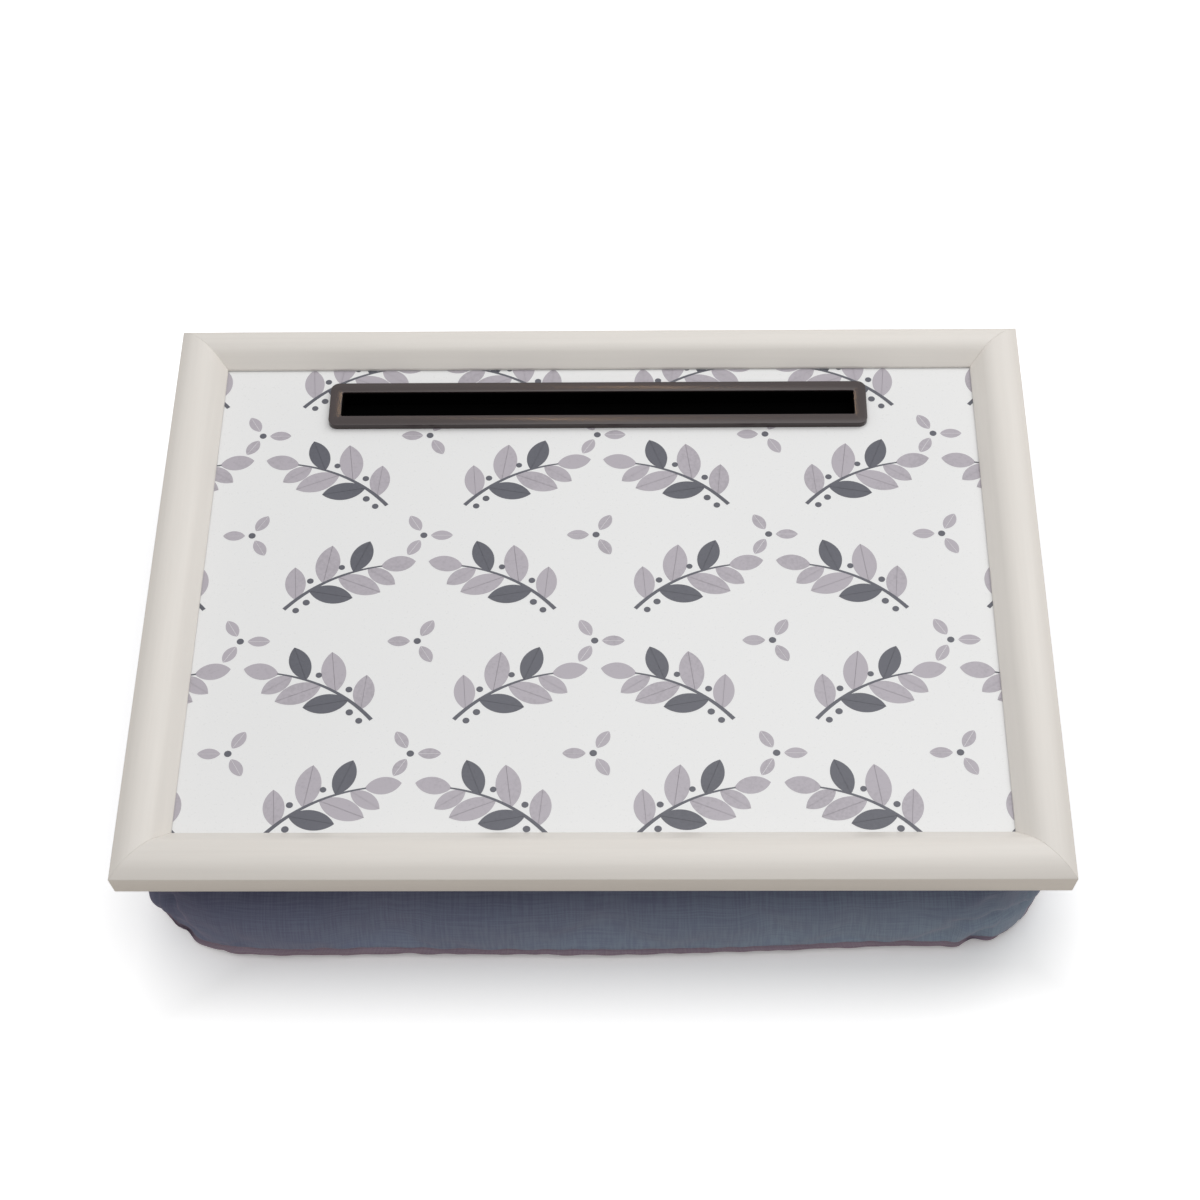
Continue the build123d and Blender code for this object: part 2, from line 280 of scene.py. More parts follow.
class CushionSizes(bpy.types.PropertyGroup):
    """Sizes of the cushion and its simulation."""

    cell: length_prop("Cell", "Side of one cell of the simulated cloth", 4 * MM)
    top_inset: length_prop("Top inset", "From the tray's edge in to the cushion's top", 12.5 * MM)
    top_corner: length_prop("Top corner", "Corner radius under the rails", 25 * MM)
    shoulder_height: length_prop("Shoulder height", "Where the sides have swelled out", 53 * MM)
    shoulder_inset: length_prop("Shoulder inset", "From the tray's edge in to the shoulder", 8.5 * MM)
    belly_height: length_prop("Belly height", "Height of the middle of the sides", 34 * MM)
    belly_inset: length_prop("Belly inset", "From the tray's edge in to there", 6 * MM)
    seam_height: length_prop("Seam height", "Height of the base seam above the floor", 7 * MM)
    seam_inset: length_prop("Seam inset", "From the tray's edge in to the base seam", 4.8 * MM)
    seam_corner: length_prop("Seam corner", "Corner radius at the base seam", 50 * MM)
    seam_bow: length_prop("Seam bow", "How far each side's middle stands out at the seam", 3.3 * MM)
    roll_width: length_prop("Roll width", "From the seam in to where the base lies flat", 20 * MM)
    roll_bulge: length_prop("Roll bulge", "How far the base cloth stands out below its seam", 1.6 * MM)
    seam_wave: length_prop("Seam wave", "How far the base seam wanders up and down", 1.8 * MM)
    tuck_start: share_prop("Tuck start", "Share of the half side where the tuck begins", 0.82, 1)
    corner_tuck: length_prop("Corner tuck", "How far the corners' seam is drawn under", 5.0 * MM)
    lean: length_prop("Lean", "How much further in the front's foot lies towards its right", 2.5 * MM)
    left_foot: length_prop("Left foot", "How far the front's foot stands out near its left", 3.0 * MM)
    seam_slope: length_prop("Seam slope", "How much lower the front's seam lies at its right", 1.5 * MM)
    crowding: share_prop("Crowding", "How much smaller cells are near seams and corners", 0.45, 0.8)
    pressure: strength_prop("Pressure", "Push of the filling on the cloth", 3.0)
    spare_cloth: share_prop("Spare cloth", "Share by which the cloth is too large", 0.02, 0.2)
    steps: count_prop("Steps", "Frames that the cloth is simulated for", 20, 1)
    largest_move: length_prop("Largest move", "Furthest that a point may be carried", 6 * MM)
    seam_depth: length_prop("Seam depth", "How deep the stitches pull the seams in", 1.3 * MM)
    cloth_thickness: length_prop("Cloth thickness", "Of the cloth under the rails", 0.8 * MM)
    crease_share: share_prop("Creases", "Depth of the creases near the corners", 1.0, 3)
    flange_corner: length_prop("Flange corner", "Corner radius of the stapled flange", 8 * MM)
    flange_sag: length_prop("Flange sag", "How far its edge hangs between two staples", 0.6 * MM)
    staple_end_distance: length_prop("Staple distance", "From a corner to the first staple", 32 * MM)
    staples_long: count_prop("Staples on a long rail", "Along the front and the back", 7, 2)
    staples_short: count_prop("Staples on a short rail", "Along each end", 5, 2)


class TrayColours(bpy.types.PropertyGroup):
    """Colours of the finishes."""

    paint: colour_prop("Frame paint", "Off-white paint of the frame", (0.81, 0.77, 0.72))
    laminate: colour_prop("Laminate", "White ground of the printed sheet", (0.86, 0.86, 0.856))
    pale_ink: colour_prop("Pale ink", "Lilac-grey ink of the leaves", (0.435, 0.403, 0.443))
    dark_ink: colour_prop("Dark ink", "Slate ink of the stems and buds", (0.092, 0.094, 0.116))
    slot_plastic: colour_prop("Slot plastic", "Dark brown-black moulding", (0.135, 0.075, 0.066))
    lining: colour_prop("Slot lining", "Matt black lining", (0.0015, 0.0015, 0.0015))
    # The cloth's hue turns from blue-violet to grey-blue along the tray; the right colour is also
    # lighter, which is painted light from the right side
    cloth_left: colour_prop("Cloth, left", "Blue-violet tone at its left end", (0.212, 0.238, 0.338))
    cloth_right_with_painted_light: colour_prop("Cloth, right", "Grey-blue tone at its right end", (0.325, 0.42, 0.515))
    base_cloth: colour_prop("Base cloth", "Warmer cloth of the base", (0.33, 0.265, 0.32))
    fibreboard: colour_prop("Fibreboard", "Raw board under the sheet", (0.38, 0.26, 0.16))
    steel: colour_prop("Steel", "Staples, nails and points", (0.55, 0.55, 0.56))


class StageSettings(bpy.types.PropertyGroup):
    """Camera and light."""

    camera_place: bpy.props.FloatVectorProperty(
        name="Camera place", description="Where the camera stands", subtype="TRANSLATION",
        unit="LENGTH", size=3, default=(0.028, -0.829, 1.134))
    pitch: angle_prop("Pitch", "How far the camera looks down", 52.32)
    yaw: angle_prop("Yaw", "How far the camera looks to the right", -1.79)
    roll: angle_prop("Roll", "How far the camera leans", -1.60)
    focal_pixels: strength_prop("Focal length", "In pixels of the square picture", 2744.0)
    picture_pixels: strength_prop("Picture", "Side of the square picture in pixels", 1200.0)
    sky_strength: strength_prop("Sky", "Strength of the even light from all round", 0.42)
    key_power: strength_prop("Key light", "Power of the soft light above the tray", 18.0)
    side_power: strength_prop("Side light", "Power of the soft light behind it to the right", 9.0)
    bulb_power: strength_prop("Warm bulb", "Power of the lamp that glints on the slot's rim", 1.2)


def only_select(*pieces):
    """Selects these objects alone and makes the first one active."""
    bpy.ops.object.select_all(action="DESELECT")
    for piece in pieces:
        piece.select_set(True)
    bpy.context.view_layer.objects.active = pieces[0]


def add_shape(kind, **options):
    """Adds a primitive shape with nothing else selected."""
    bpy.ops.object.select_all(action="DESELECT")
    getattr(bpy.ops.mesh, "primitive_" + kind + "_add")(**options)
    return bpy.context.object


def start_edit(piece):
    """Opens one piece in edit mode with all of it selected."""
    only_select(piece)
    bpy.ops.object.mode_set(mode="EDIT")
    bpy.ops.mesh.select_all(action="SELECT")


def end_edit():
    """Goes back to object mode."""
    bpy.ops.object.mode_set(mode="OBJECT")


def apply_modifier(piece, kind, **settings):
    """Gives a piece a modifier with these settings and applies it."""
    only_select(piece)
    modifier = piece.modifiers.new(kind.lower(), kind)
    for key, value in settings.items():
        setattr(modifier, key, value)
    bpy.ops.object.modifier_apply(modifier=modifier.name)


def finish_piece(piece, name, material):
    """Names a finished piece and gives it its material, its slot and its body."""
    piece.name = name
    piece.data.name = name
    if material is not None:
        piece.data.materials.clear()
        piece.data.materials.append(material)
    only_select(piece)
    bpy.ops.object.transform_apply(location=True, rotation=True, scale=True)
    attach(piece, "root")
    return piece


def select_where(piece, kind, test):
    """In edit mode, selects the vertices, edges or faces that pass a test and nothing else."""
    modes = {"verts": "VERT", "edges": "EDGE", "faces": "FACE"}
    bpy.ops.mesh.select_mode(type=modes[kind])
    bpy.ops.mesh.select_all(action="DESELECT")
    mesh = bmesh.from_edit_mesh(piece.data)
    for part in getattr(mesh, kind):
        if test(part):
            part.select_set(True)
    bmesh.update_edit_mesh(piece.data)


def edge_ends(edge):
    """The two ends of an edge."""
    return edge.verts[0].co, edge.verts[1].co


def feed(tree, node, feeds):
    """Gives inputs of a node their constant value or the socket that drives them."""
    for key, value in feeds.items():
        if isinstance(value, bpy.types.NodeSocket):
            tree.links.new(value, node.inputs[key])
        else:
            node.inputs[key].default_value = value


def add_node(tree, kind, place, feeds=None, **values):
    """Adds a node at a place in the tree, sets its plain properties and feeds its inputs."""
    node = tree.nodes.new(kind)
    node.location = place
    for key, value in values.items():
        setattr(node, key, value)
    feed(tree, node, feeds or {})
    return node


def calculate(tree, operation, place, *values):
    """The result of a calculation with sockets and numbers."""
    node = add_node(tree, "ShaderNodeMath", place, dict(enumerate(values)), operation=operation)
    return node.outputs[0]


def in_range(tree, value, place, start, end, low=0.0, high=1.0):
    """A value carried over from one range to another, and held at both ends."""
    node = add_node(tree, "ShaderNodeMapRange", place, {
        "Value": value, "From Min": start, "From Max": end, "To Min": low, "To Max": high})
    return node.outputs["Result"]


def colour_between(tree, value, stops, colours, place):
    """A colour ramp with two stops, driven by a value."""
    ramp = add_node(tree, "ShaderNodeValToRGB", place, {"Fac": value})
    for element, stop, colour in zip(ramp.color_ramp.elements, stops, colours):
        element.position = stop
        element.color = (*colour, 1)
    return ramp.outputs["Color"]


def multiplied(tree, first, second, place):
    """Two colours multiplied."""
    node = add_node(tree, "ShaderNodeMix", place, {"Factor": 1.0, "A": first, "B": second},
                    data_type="RGBA", blend_type="MULTIPLY")
    return node.outputs["Result"]


def noise_pattern(tree, scale, detail, y, stretch=(1.0, 1.0, 1.0)):
    """Noise on object coordinates, with its own stretch along each axis."""
    place = add_node(tree, "ShaderNodeTexCoord", (-900, y))
    mapping = add_node(tree, "ShaderNodeMapping", (-700, y), {
        "Vector": place.outputs["Object"], "Scale": stretch})
    pattern = add_node(tree, "ShaderNodeTexNoise", (-500, y), {
        "Vector": mapping.outputs["Vector"], "Scale": scale, "Detail": detail})
    return pattern.outputs["Fac"]


def new_material(name):
    """The tree and the principled shader of a new material."""
    material = bpy.data.materials.new(name)
    material.use_nodes = True
    tree = material.node_tree
    return tree, tree.nodes["Principled BSDF"]


def shade(colour, factor):
    """A colour made lighter or darker."""
    return tuple(min(1.0, channel * factor) for channel in colour)


def mottle(tree, shader, value, colour, stops, factors):
    """Base colour that wanders between a darker and a lighter tone of one colour."""
    tones = [shade(colour, factor) for factor in factors]
    feed(tree, shader, {"Base Color": colour_between(tree, value, stops, tones, (-200, 200))})


def add_bump(tree, shader, value, strength, distance):
    """Bump from a pattern."""
    bump = add_node(tree, "ShaderNodeBump", (-200, -400), {
        "Height": value, "Strength": strength, "Distance": distance})
    feed(tree, shader, {"Normal": bump.outputs["Normal"]})


def paint_material(name, colour, along):
    """Satin paint over timber: fine streaks of grain along the rail and uneven sheen."""
    tree, shader = new_material(name)
    stretch = [0.03 if axis == along else 1.0 for axis in "XYZ"]
    streaks = noise_pattern(tree, 420.0, 4.0, 200, stretch)
    clouds = noise_pattern(tree, 22.0, 3.0, -100)
    mottle(tree, shader, streaks, colour, (0.3, 0.75), (0.965, 1.0))
    feed(tree, shader, {"Roughness": in_range(tree, clouds, (-200, -100), 0.0, 1.0, 0.36, 0.50)})
    add_bump(tree, shader, streaks, 0.25, 0.05 * MM)


def laminate_material(colour):
    """Hard printed sheet: white ground with a faint unevenness in its gloss."""
    tree, shader = new_material("laminate_white")
    peel = noise_pattern(tree, 900.0, 2.0, -100)
    mottle(tree, shader, noise_pattern(tree, 9.0, 3.0, 200), colour, (0.3, 0.7), (0.985, 1.0))
    feed(tree, shader, {"Roughness": in_range(tree, peel, (-200, -100), 0.0, 1.0, 0.24, 0.34)})
    add_bump(tree, shader, peel, 0.08, 0.02 * MM)


def ink_material(name, colour):
    """Printed ink under the sheet's gloss, with the soft grain of a screened tint."""
    tree, shader = new_material(name)
    grain = noise_pattern(tree, 700.0, 3.0, 300)
    wash = noise_pattern(tree, 26.0, 2.0, 0)
    both = calculate(tree, "ADD", (-250, 150), grain, wash)
    mottle(tree, shader, both, colour, (0.7, 1.0), (0.92, 1.06))
    feed(tree, shader, {"Roughness": 0.3})


def slot_plastic_material(colour):
    """Glossy dark moulding with a trace of orange peel."""
    tree, shader = new_material("slot_plastic")
    mottle(tree, shader, noise_pattern(tree, 60.0, 2.0, 200), colour, (0.3, 0.7), (0.9, 1.1))
    add_bump(tree, shader, noise_pattern(tree, 1500.0, 2.0, -200), 0.1, 0.02 * MM)
    feed(tree, shader, {
        "Roughness": 0.08,
        "Specular IOR Level": 0.1,
        "Specular Tint": (1.0, 0.75, 0.65, 1),
    })


def lining_material(colour):
    """Matt black flocked lining."""
    tree, shader = new_material("slot_lining_flock")
    fibres = noise_pattern(tree, 2500.0, 2.0, 200)
    mottle(tree, shader, fibres, colour, (0.3, 0.7), (0.6, 1.4))
    add_bump(tree, shader, fibres, 0.5, 0.1 * MM)
    feed(tree, shader, {"Roughness": 1.0, "Specular IOR Level": 0.0})


def fibreboard_material(colour):
    """Raw fibreboard."""
    tree, shader = new_material("fibreboard_raw")
    fibres = noise_pattern(tree, 300.0, 5.0, 200, (1.0, 1.0, 3.0))
    mottle(tree, shader, fibres, colour, (0.3, 0.7), (0.8, 1.15))
    feed(tree, shader, {"Roughness": 0.85})


def steel_material(colour):
    """Galvanised wire and strip."""
    tree, shader = new_material("fastener_steel")
    mottle(tree, shader, noise_pattern(tree, 800.0, 3.0, 200), colour, (0.3, 0.7), (0.85, 1.1))
    feed(tree, shader, {"Metallic": 1.0, "Roughness": 0.35})


def thread_pattern(tree):
    """A value round a half that wanders as the two sets of threads cross, on the cloth's own map."""
    lay = add_node(tree, "ShaderNodeUVMap", (-1400, 200), uv_map="cloth")
    threads = []
    for y, waves in ((200, THREAD_WAVES), (-100, THREAD_WAVES[::-1])):
        mapping = add_node(tree, "ShaderNodeMapping", (-1200, y), {
            "Vector": lay.outputs["UV"], "Scale": (*waves, 1.0)})
        slub = add_node(tree, "ShaderNodeTexNoise", (-1000, y), {
            "Vector": mapping.outputs["Vector"], "Scale": 0.5, "Detail": 1.0}, noise_dimensions="2D")
        threads.append(slub.outputs["Fac"])
    crossing = calculate(tree, "SUBTRACT", (-800, 100), *threads)
    return calculate(tree, "ADD", (-600, 100), crossing, 0.5)


def cushion_tone_and_painted_light(tree, left_colour, right_colour):
    """The cloth's tone turns slowly from blue-violet at the left to grey-blue at the right, and its
    right end is also lighter, which is painted light from the right side; painted shade darkens it
    towards the rails.
    """
    place = add_node(tree, "ShaderNodeTexCoord", (-1200, 700))
    apart = add_node(tree, "ShaderNodeSeparateXYZ", (-1000, 700), {"Vector": place.outputs["Object"]})
    across = in_range(tree, apart.outputs["X"], (-800, 800), -TRAY_HALF_WIDTH, TRAY_HALF_WIDTH)
    upward = in_range(tree, apart.outputs["Z"], (-800, 500), PAINTED_SHADE_FROM, PAINTED_SHADE_TO)
    # Tone along the tray: the hue is the cloth's own, the lighter right end is painted light
    tone = colour_between(tree, across, (0.0, 1.0), (left_colour, right_colour), (-600, 800))
    # Painted shade: the cloth turns darker towards the rails, where their overhang shades it
    painted_shade_tints = ((1.0, 1.0, 1.0), (0.44, 0.42, 0.47))
    depth = colour_between(tree, upward, (0.0, 1.0), painted_shade_tints, (-600, 500))
    return multiplied(tree, tone, depth, (-300, 600))


def cloth_material(name, left_colour, right_colour):
    """Plain woven cloth with fine crossing threads."""
    tree, shader = new_material(name)
    threads = thread_pattern(tree)
    tints = ((0.84, 0.80, 0.86), (1.0, 1.0, 1.0))
    weave = colour_between(tree, threads, (0.25, 0.75), tints, (-400, 100))
    # The cloth's tone, with painted light at the right end and painted shade towards the rails
    tone = cushion_tone_and_painted_light(tree, left_colour, right_colour)
    add_bump(tree, shader, threads, 0.3, 0.08 * MM)
    feed(tree, shader, {
        "Base Color": multiplied(tree, tone, weave, (-150, 300)),
        "Roughness": 0.9,
        "Specular IOR Level": 0.2,
        "Sheen Weight": 0.22,
        "Sheen Roughness": 0.35,
        "Sheen Tint": (0.75, 0.52, 0.62, 1),
    })


def material_named(name):
    """A material that an earlier step made."""
    if name not in bpy.data.materials:
        raise RuntimeError("run Make finishes first: there is no material " + name)
    return bpy.data.materials[name]


class LAPTRAY_OT_finishes(bpy.types.Operator):
    """Makes every finish and puts them on the hidden and carried-over pieces"""

    bl_idname = "laptray.finishes"
    bl_label = "Make finishes"

    def execute(self, context):
        colours = context.scene.laptray_colours
        paint_material("paint_along_x", colours.paint, "X")
        paint_material("paint_along_y", colours.paint, "Y")
        laminate_material(colours.laminate)
        ink_material("ink_pale", colours.pale_ink)
        ink_material("ink_dark", colours.dark_ink)
        slot_plastic_material(colours.slot_plastic)
        lining_material(colours.lining)
        cloth_material("cloth_side", colours.cloth_left, colours.cloth_right_with_painted_light)
        cloth_material("cloth_base", colours.base_cloth, colours.base_cloth)
        fibreboard_material(colours.fibreboard)
        steel_material(colours.steel)
        carried_over = {
            "printed_laminate": "laminate_white",
            "tray_board": "fibreboard_raw",
            "slot_lining": "slot_lining_flock",
            "corner_v_nails": "fastener_steel",
            "board_points": "fastener_steel",
            "cushion_staples": "fastener_steel",
        }
        for node, finish in carried_over.items():
            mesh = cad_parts[node].data
            mesh.materials.clear()
            mesh.materials.append(material_named(finish))
        return {"FINISHED"}


def flank_end(sizes, edge_inset, edge_level, radius):
    """Where the flat flank from one edge of the moulding runs into its round crown, and its slope."""
    run = sizes.crown_inset - edge_inset
    climb = edge_level - (CROWN - radius)
    slope = math.asin(radius / math.hypot(run, climb)) - math.atan2(climb, abs(run))
    inset = sizes.crown_inset - math.copysign(radius * math.sin(slope), run)
    return inset, CROWN - radius * (1 - math.cos(slope)), slope


def round_the_crown(sizes, radius, slope):
    """Spins the selected edge round one side of the crown."""
    centre = (0, sizes.crown_inset, CROWN - radius)
    bpy.ops.mesh.spin(steps=sizes.arc_steps, angle=-slope, center=centre, axis=(-1, 0, 0))


def extrude(y, z):
    """Extrudes the selected edge by one more line of the rail's section."""
    bpy.ops.mesh.extrude_region_move(TRANSFORM_OT_translate={"value": (0, y, z)})


def model_rail(sizes, length):
    """One rail along X with its arris on y = 0, drawn round its section edge by edge."""
    bar = length + 2 * MITRE_SPARE
    arris = UNDERSIDE + sizes.arris_height
    sight = arris - sizes.sight_drop
    rebate_inset = FACE_WIDTH - sizes.lip_overlap
    rail = add_shape("plane", size=1.0)
    start_edit(rail)
    bpy.ops.transform.resize(value=(bar, rebate_inset - sizes.side_undercut, 1.0))
    bpy.ops.transform.translate(value=(0, (rebate_inset + sizes.side_undercut) / 2, UNDERSIDE))
    near = sizes.side_undercut + MERGE_DISTANCE
    select_where(rail, "edges", lambda edge: all(end.y < near for end in edge_ends(edge)))
    outer_inset, outer_level, outer_slope = flank_end(sizes, 0.0, arris, sizes.crown_outer_radius)
    inner_inset, inner_level, inner_slope = flank_end(
        sizes, FACE_WIDTH, sight, sizes.crown_inner_radius)
    extrude(-sizes.side_undercut, sizes.arris_height)
    extrude(outer_inset, outer_level - arris)
    round_the_crown(sizes, sizes.crown_outer_radius, outer_slope)
    round_the_crown(sizes, sizes.crown_inner_radius, inner_slope)
    extrude(FACE_WIDTH - inner_inset, sight - inner_level)
    extrude(0, -(sight - SHEET_TOP - sizes.shadow_gap))
    extrude(-sizes.shadow_depth, 0)
    extrude(0, -sizes.shadow_gap)
    extrude(sizes.shadow_depth - sizes.lip_overlap, 0)
    extrude(0, UNDERSIDE - SHEET_TOP)
    bpy.ops.mesh.select_all(action="SELECT")
    bpy.ops.mesh.remove_doubles(threshold=MERGE_DISTANCE)
    bpy.ops.mesh.normals_make_consistent(inside=False)
    round_long_edges(rail, sizes, arris)
    for side in (-1, 1):
        bpy.ops.mesh.select_all(action="SELECT")
        bpy.ops.mesh.bisect(
            plane_co=(side * length / 2, 0, 0), plane_no=(side, 1, 0), use_fill=True, clear_outer=True)
        bpy.ops.mesh.select_mode(type="FACE")
    bpy.ops.mesh.select_all(action="SELECT")
    bpy.ops.mesh.normals_make_consistent(inside=False)
    select_where(rail, "edges", is_mitre_edge)
    bpy.ops.mesh.bevel(offset=sizes.mitre_round, segments=2, affect="EDGES")
    end_edit()
    bpy.ops.object.shade_smooth_by_angle(angle=RAIL_SMOOTH)
    return rail


def is_mitre_edge(edge):
    """True for an edge round the flat face of a mitre."""
    slants = [abs(abs(face.normal.x) - math.sqrt(0.5)) < 0.01 for face in edge.link_faces]
    return sum(slants) == 1


def round_long_edges(rail, sizes, arris):
    """Rounds the arris, the inner edge and the underside's outer edge."""
    sharp = (
        (0.0, arris),
        (FACE_WIDTH, arris - sizes.sight_drop),
        (sizes.side_undercut, UNDERSIDE),
    )

    def on_sharp_line(edge):
        first, second = edge_ends(edge)
        if abs(first.x - second.x) < MM:
            return False
        return any(abs(first.y - y) < TOLERANCE and abs(first.z - z) < TOLERANCE for y, z in sharp)

    select_where(rail, "edges", on_sharp_line)
    bpy.ops.mesh.bevel(offset=sizes.edge_round, segments=3, affect="EDGES")


class LAPTRAY_OT_frame(bpy.types.Operator):
    """Models the four mitred rails of the painted frame"""

    bl_idname = "laptray.frame"
    bl_label = "Model frame"

    def execute(self, context):
        sizes = context.scene.laptray_frame
        sides = (
            ("front", 2 * TRAY_HALF_WIDTH, TRAY_HALF_DEPTH, 0, "X"),
            ("right", 2 * TRAY_HALF_DEPTH, TRAY_HALF_WIDTH, 90, "Y"),
            ("back", 2 * TRAY_HALF_WIDTH, TRAY_HALF_DEPTH, 180, "X"),
            ("left", 2 * TRAY_HALF_DEPTH, TRAY_HALF_WIDTH, 270, "Y"),
        )
        for side, length, distance, turn, along in sides:
            rail = model_rail(sizes, length)
            angle = math.radians(turn)
            rail.rotation_euler.z = angle
            rail.location = Matrix.Rotation(angle, 3, "Z") @ Vector((0, -distance, 0))
            finish = material_named("paint_along_" + along.lower())
            finish_piece(rail, "painted_rail_" + side, finish)
            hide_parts("rail_" + side)
        return {"FINISHED"}


def model_leaf(length, width):
    """A pointed leaf that lies along +X from the origin, as two mirrored circle segments."""
    half_length = length / 2
    half_width = width / 2
    radius = (half_length ** 2 + half_width ** 2) / (2 * half_width)
    leaf = add_shape("circle", vertices=128, radius=radius, fill_type="NGON")
    start_edit(leaf)
    bpy.ops.transform.translate(value=(half_length, half_width - radius, 0))
    bpy.ops.mesh.bisect(plane_co=(0, 0, 0), plane_no=(0, 1, 0), clear_inner=True)
    end_edit()
    apply_modifier(leaf, "MIRROR", use_axis=(False, True, False), merge_threshold=MERGE_DISTANCE)
    return leaf


def place_flat(piece, x, y, turn, flip=False, layer=0.0):
    """Turns and moves a flat shape in its plane, a hair higher for each layer under it."""
    flip_y = Matrix.Diagonal((1, -1 if flip else 1, 1, 1))
    move = Matrix.Translation((x, y, layer * LAYER_STEP)) @ Matrix.Rotation(turn, 4, "Z")
    piece.data.transform(move @ flip_y)
    return piece


def joined(pieces):
    """Joins pieces into the first of them."""
    only_select(*pieces)
    bpy.ops.object.join()
    return bpy.context.object


def stem_point(sizes, share):
    """A point on the stem's curve and its direction, from 0 at its foot to 1 at its tip."""
    x = (share - 0.5) * sizes.stem_length
    y = sizes.stem_rise * (1 - (2 * share - 1) ** 2)
    slope = -4 * sizes.stem_rise * (2 * share - 1) / sizes.stem_length
    return x, y, math.atan(slope)


def model_stem(sizes):
    """A stem: a thin strip along the curve, narrower towards its tip."""
    stem = add_shape("grid", x_subdivisions=24, y_subdivisions=1, size=1.0)
    for vertex in stem.data.vertices:
        share = vertex.co.x + 0.5
        side = vertex.co.y * 2
        x, y, angle = stem_point(sizes, share)
        half_width = sizes.stem_width / 2 * (1 - STEM_TAPER * share)
        vertex.co.x = x - math.sin(angle) * side * half_width
        vertex.co.y = y + math.cos(angle) * side * half_width
    return stem


def model_bud(sizes, x, y, share_of_size):
    """A round bud."""
    bud = add_shape("circle", vertices=32, radius=sizes.bud_radius * share_of_size, fill_type="NGON")
    return place_flat(bud, x, y, 0, layer=2.0)


def model_sprig(sizes):
    """One sprig round the origin: its pale leaves, and its dark leaves, stem and buds."""
    leaves = []
    darks = [model_stem(sizes)]
    for share, side, size_share, is_dark in SIDE_LEAVES:
        x, y, angle = stem_point(sizes, share)
        leaf = model_leaf(sizes.leaf_length * size_share, sizes.leaf_width * size_share)
        place_flat(leaf, x, y, angle + side * sizes.leaf_spread, layer=1.0 if is_dark else 0.0)
        (darks if is_dark else leaves).append(leaf)
    share, length_share, width_share = TIP_LEAF
    x, y, angle = stem_point(sizes, share)
    tip = model_leaf(sizes.leaf_length * length_share, sizes.leaf_width * width_share)
    leaves.append(place_flat(tip, x, y, angle))
    reach = BUD_REACH * sizes.bud_radius
    for share, side, size_share in BUDS:
        x, y, angle = stem_point(sizes, share)
        bud_x = x - math.sin(angle) * side * reach
        bud_y = y + math.cos(angle) * side * reach
        darks.append(model_bud(sizes, bud_x, bud_y, size_share))
    return joined(leaves), joined(darks)


def model_cluster(sizes):
    """Three small leaves round a bud, for the spaces between the sprigs."""
    leaves = []
    reach = CLUSTER_REACH * sizes.bud_radius
    length_share, width_share = CLUSTER_LEAF
    for index in range(3):
        turn = math.radians(90 + 120 * index)
        leaf = model_leaf(sizes.leaf_length * length_share, sizes.leaf_width * width_share)
        leaves.append(place_flat(leaf, math.cos(turn) * reach, math.sin(turn) * reach, turn))
    return joined(leaves), model_bud(sizes, 0, 0, CLUSTER_BUD)


def copy_flat(piece, x, y, turn, flip):
    """A copy with its own mesh, turned and moved in its plane."""
    twin = piece.copy()
    twin.data = piece.data.copy()
    bpy.context.scene.collection.objects.link(twin)
    return place_flat(twin, x, y, turn, flip, layer=0.5 if flip else 0.0)


def lay_out(sizes, sprig, cluster):
    """Covers the sheet: sprigs on a lattice, tilted to alternate sides, with clusters between."""
    leaf_copies = []
    dark_copies = []
    columns = math.ceil(TRAY_HALF_WIDTH / sizes.column_spacing) + 1
    rows = math.ceil(TRAY_HALF_DEPTH / sizes.row_spacing) + 1
    limit_x = SHEET_HIGH.x + sizes.stem_length
    limit_y = SHEET_HIGH.y + sizes.stem_length
    for row in range(-rows, rows + 1):
        for column in range(-columns, columns + 1):
            x = sizes.column_spacing / 2 + column * sizes.column_spacing
            y = row * sizes.row_spacing
            if abs(x) > limit_x or abs(y) > limit_y:
                continue
            odd = (row + column) % 2 == 1
            turn = math.pi - sizes.tilt if odd else sizes.tilt
            between_x = x + sizes.column_spacing / 2
            between_y = y + sizes.row_spacing / 2
            for (leaves, darks), place_x, place_y in ((sprig, x, y), (cluster, between_x, between_y)):
                leaf_copies.append(copy_flat(leaves, place_x, place_y, turn, odd))
                dark_copies.append(copy_flat(darks, place_x, place_y, turn, odd))
    for pattern in (*sprig, *cluster):
        bpy.data.objects.remove(pattern)
    return joined(leaf_copies), joined(dark_copies)


def trim_print(piece, slot_sizes):
    """Cuts the flat print to the part of the sheet inside the rails and outside the slot's rim."""
    inside_x = TRAY_HALF_WIDTH - FACE_WIDTH - TOLERANCE
    inside_y = TRAY_HALF_DEPTH - FACE_WIDTH - TOLERANCE
    rim_edge = slot_sizes.rim_width / 2
    slot_x = SLOT_HIGH.x - rim_edge
    slot_low = SLOT_LOW.y + rim_edge
    slot_high = SLOT_HIGH.y - rim_edge
    cuts = (
        ((inside_x, 0, 0), (1, 0, 0), True),
        ((-inside_x, 0, 0), (-1, 0, 0), True),
        ((0, inside_y, 0), (0, 1, 0), True),
        ((0, -inside_y, 0), (0, -1, 0), True),
        ((slot_x, 0, 0), (1, 0, 0), False),
        ((-slot_x, 0, 0), (1, 0, 0), False),
        ((0, slot_low, 0), (0, 1, 0), False),
        ((0, slot_high, 0), (0, 1, 0), False),
    )
    start_edit(piece)
    bpy.ops.mesh.select_mode(type="FACE")
    for point, normal, clears in cuts:
        bpy.ops.mesh.select_all(action="SELECT")
        bpy.ops.mesh.bisect(plane_co=point, plane_no=normal, clear_outer=clears)

    def under_rim(face):
        middle = face.calc_center_median()
        return abs(middle.x) < slot_x and slot_low < middle.y < slot_high

    select_where(piece, "faces", under_rim)
    bpy.ops.mesh.delete(type="FACE")
    end_edit()


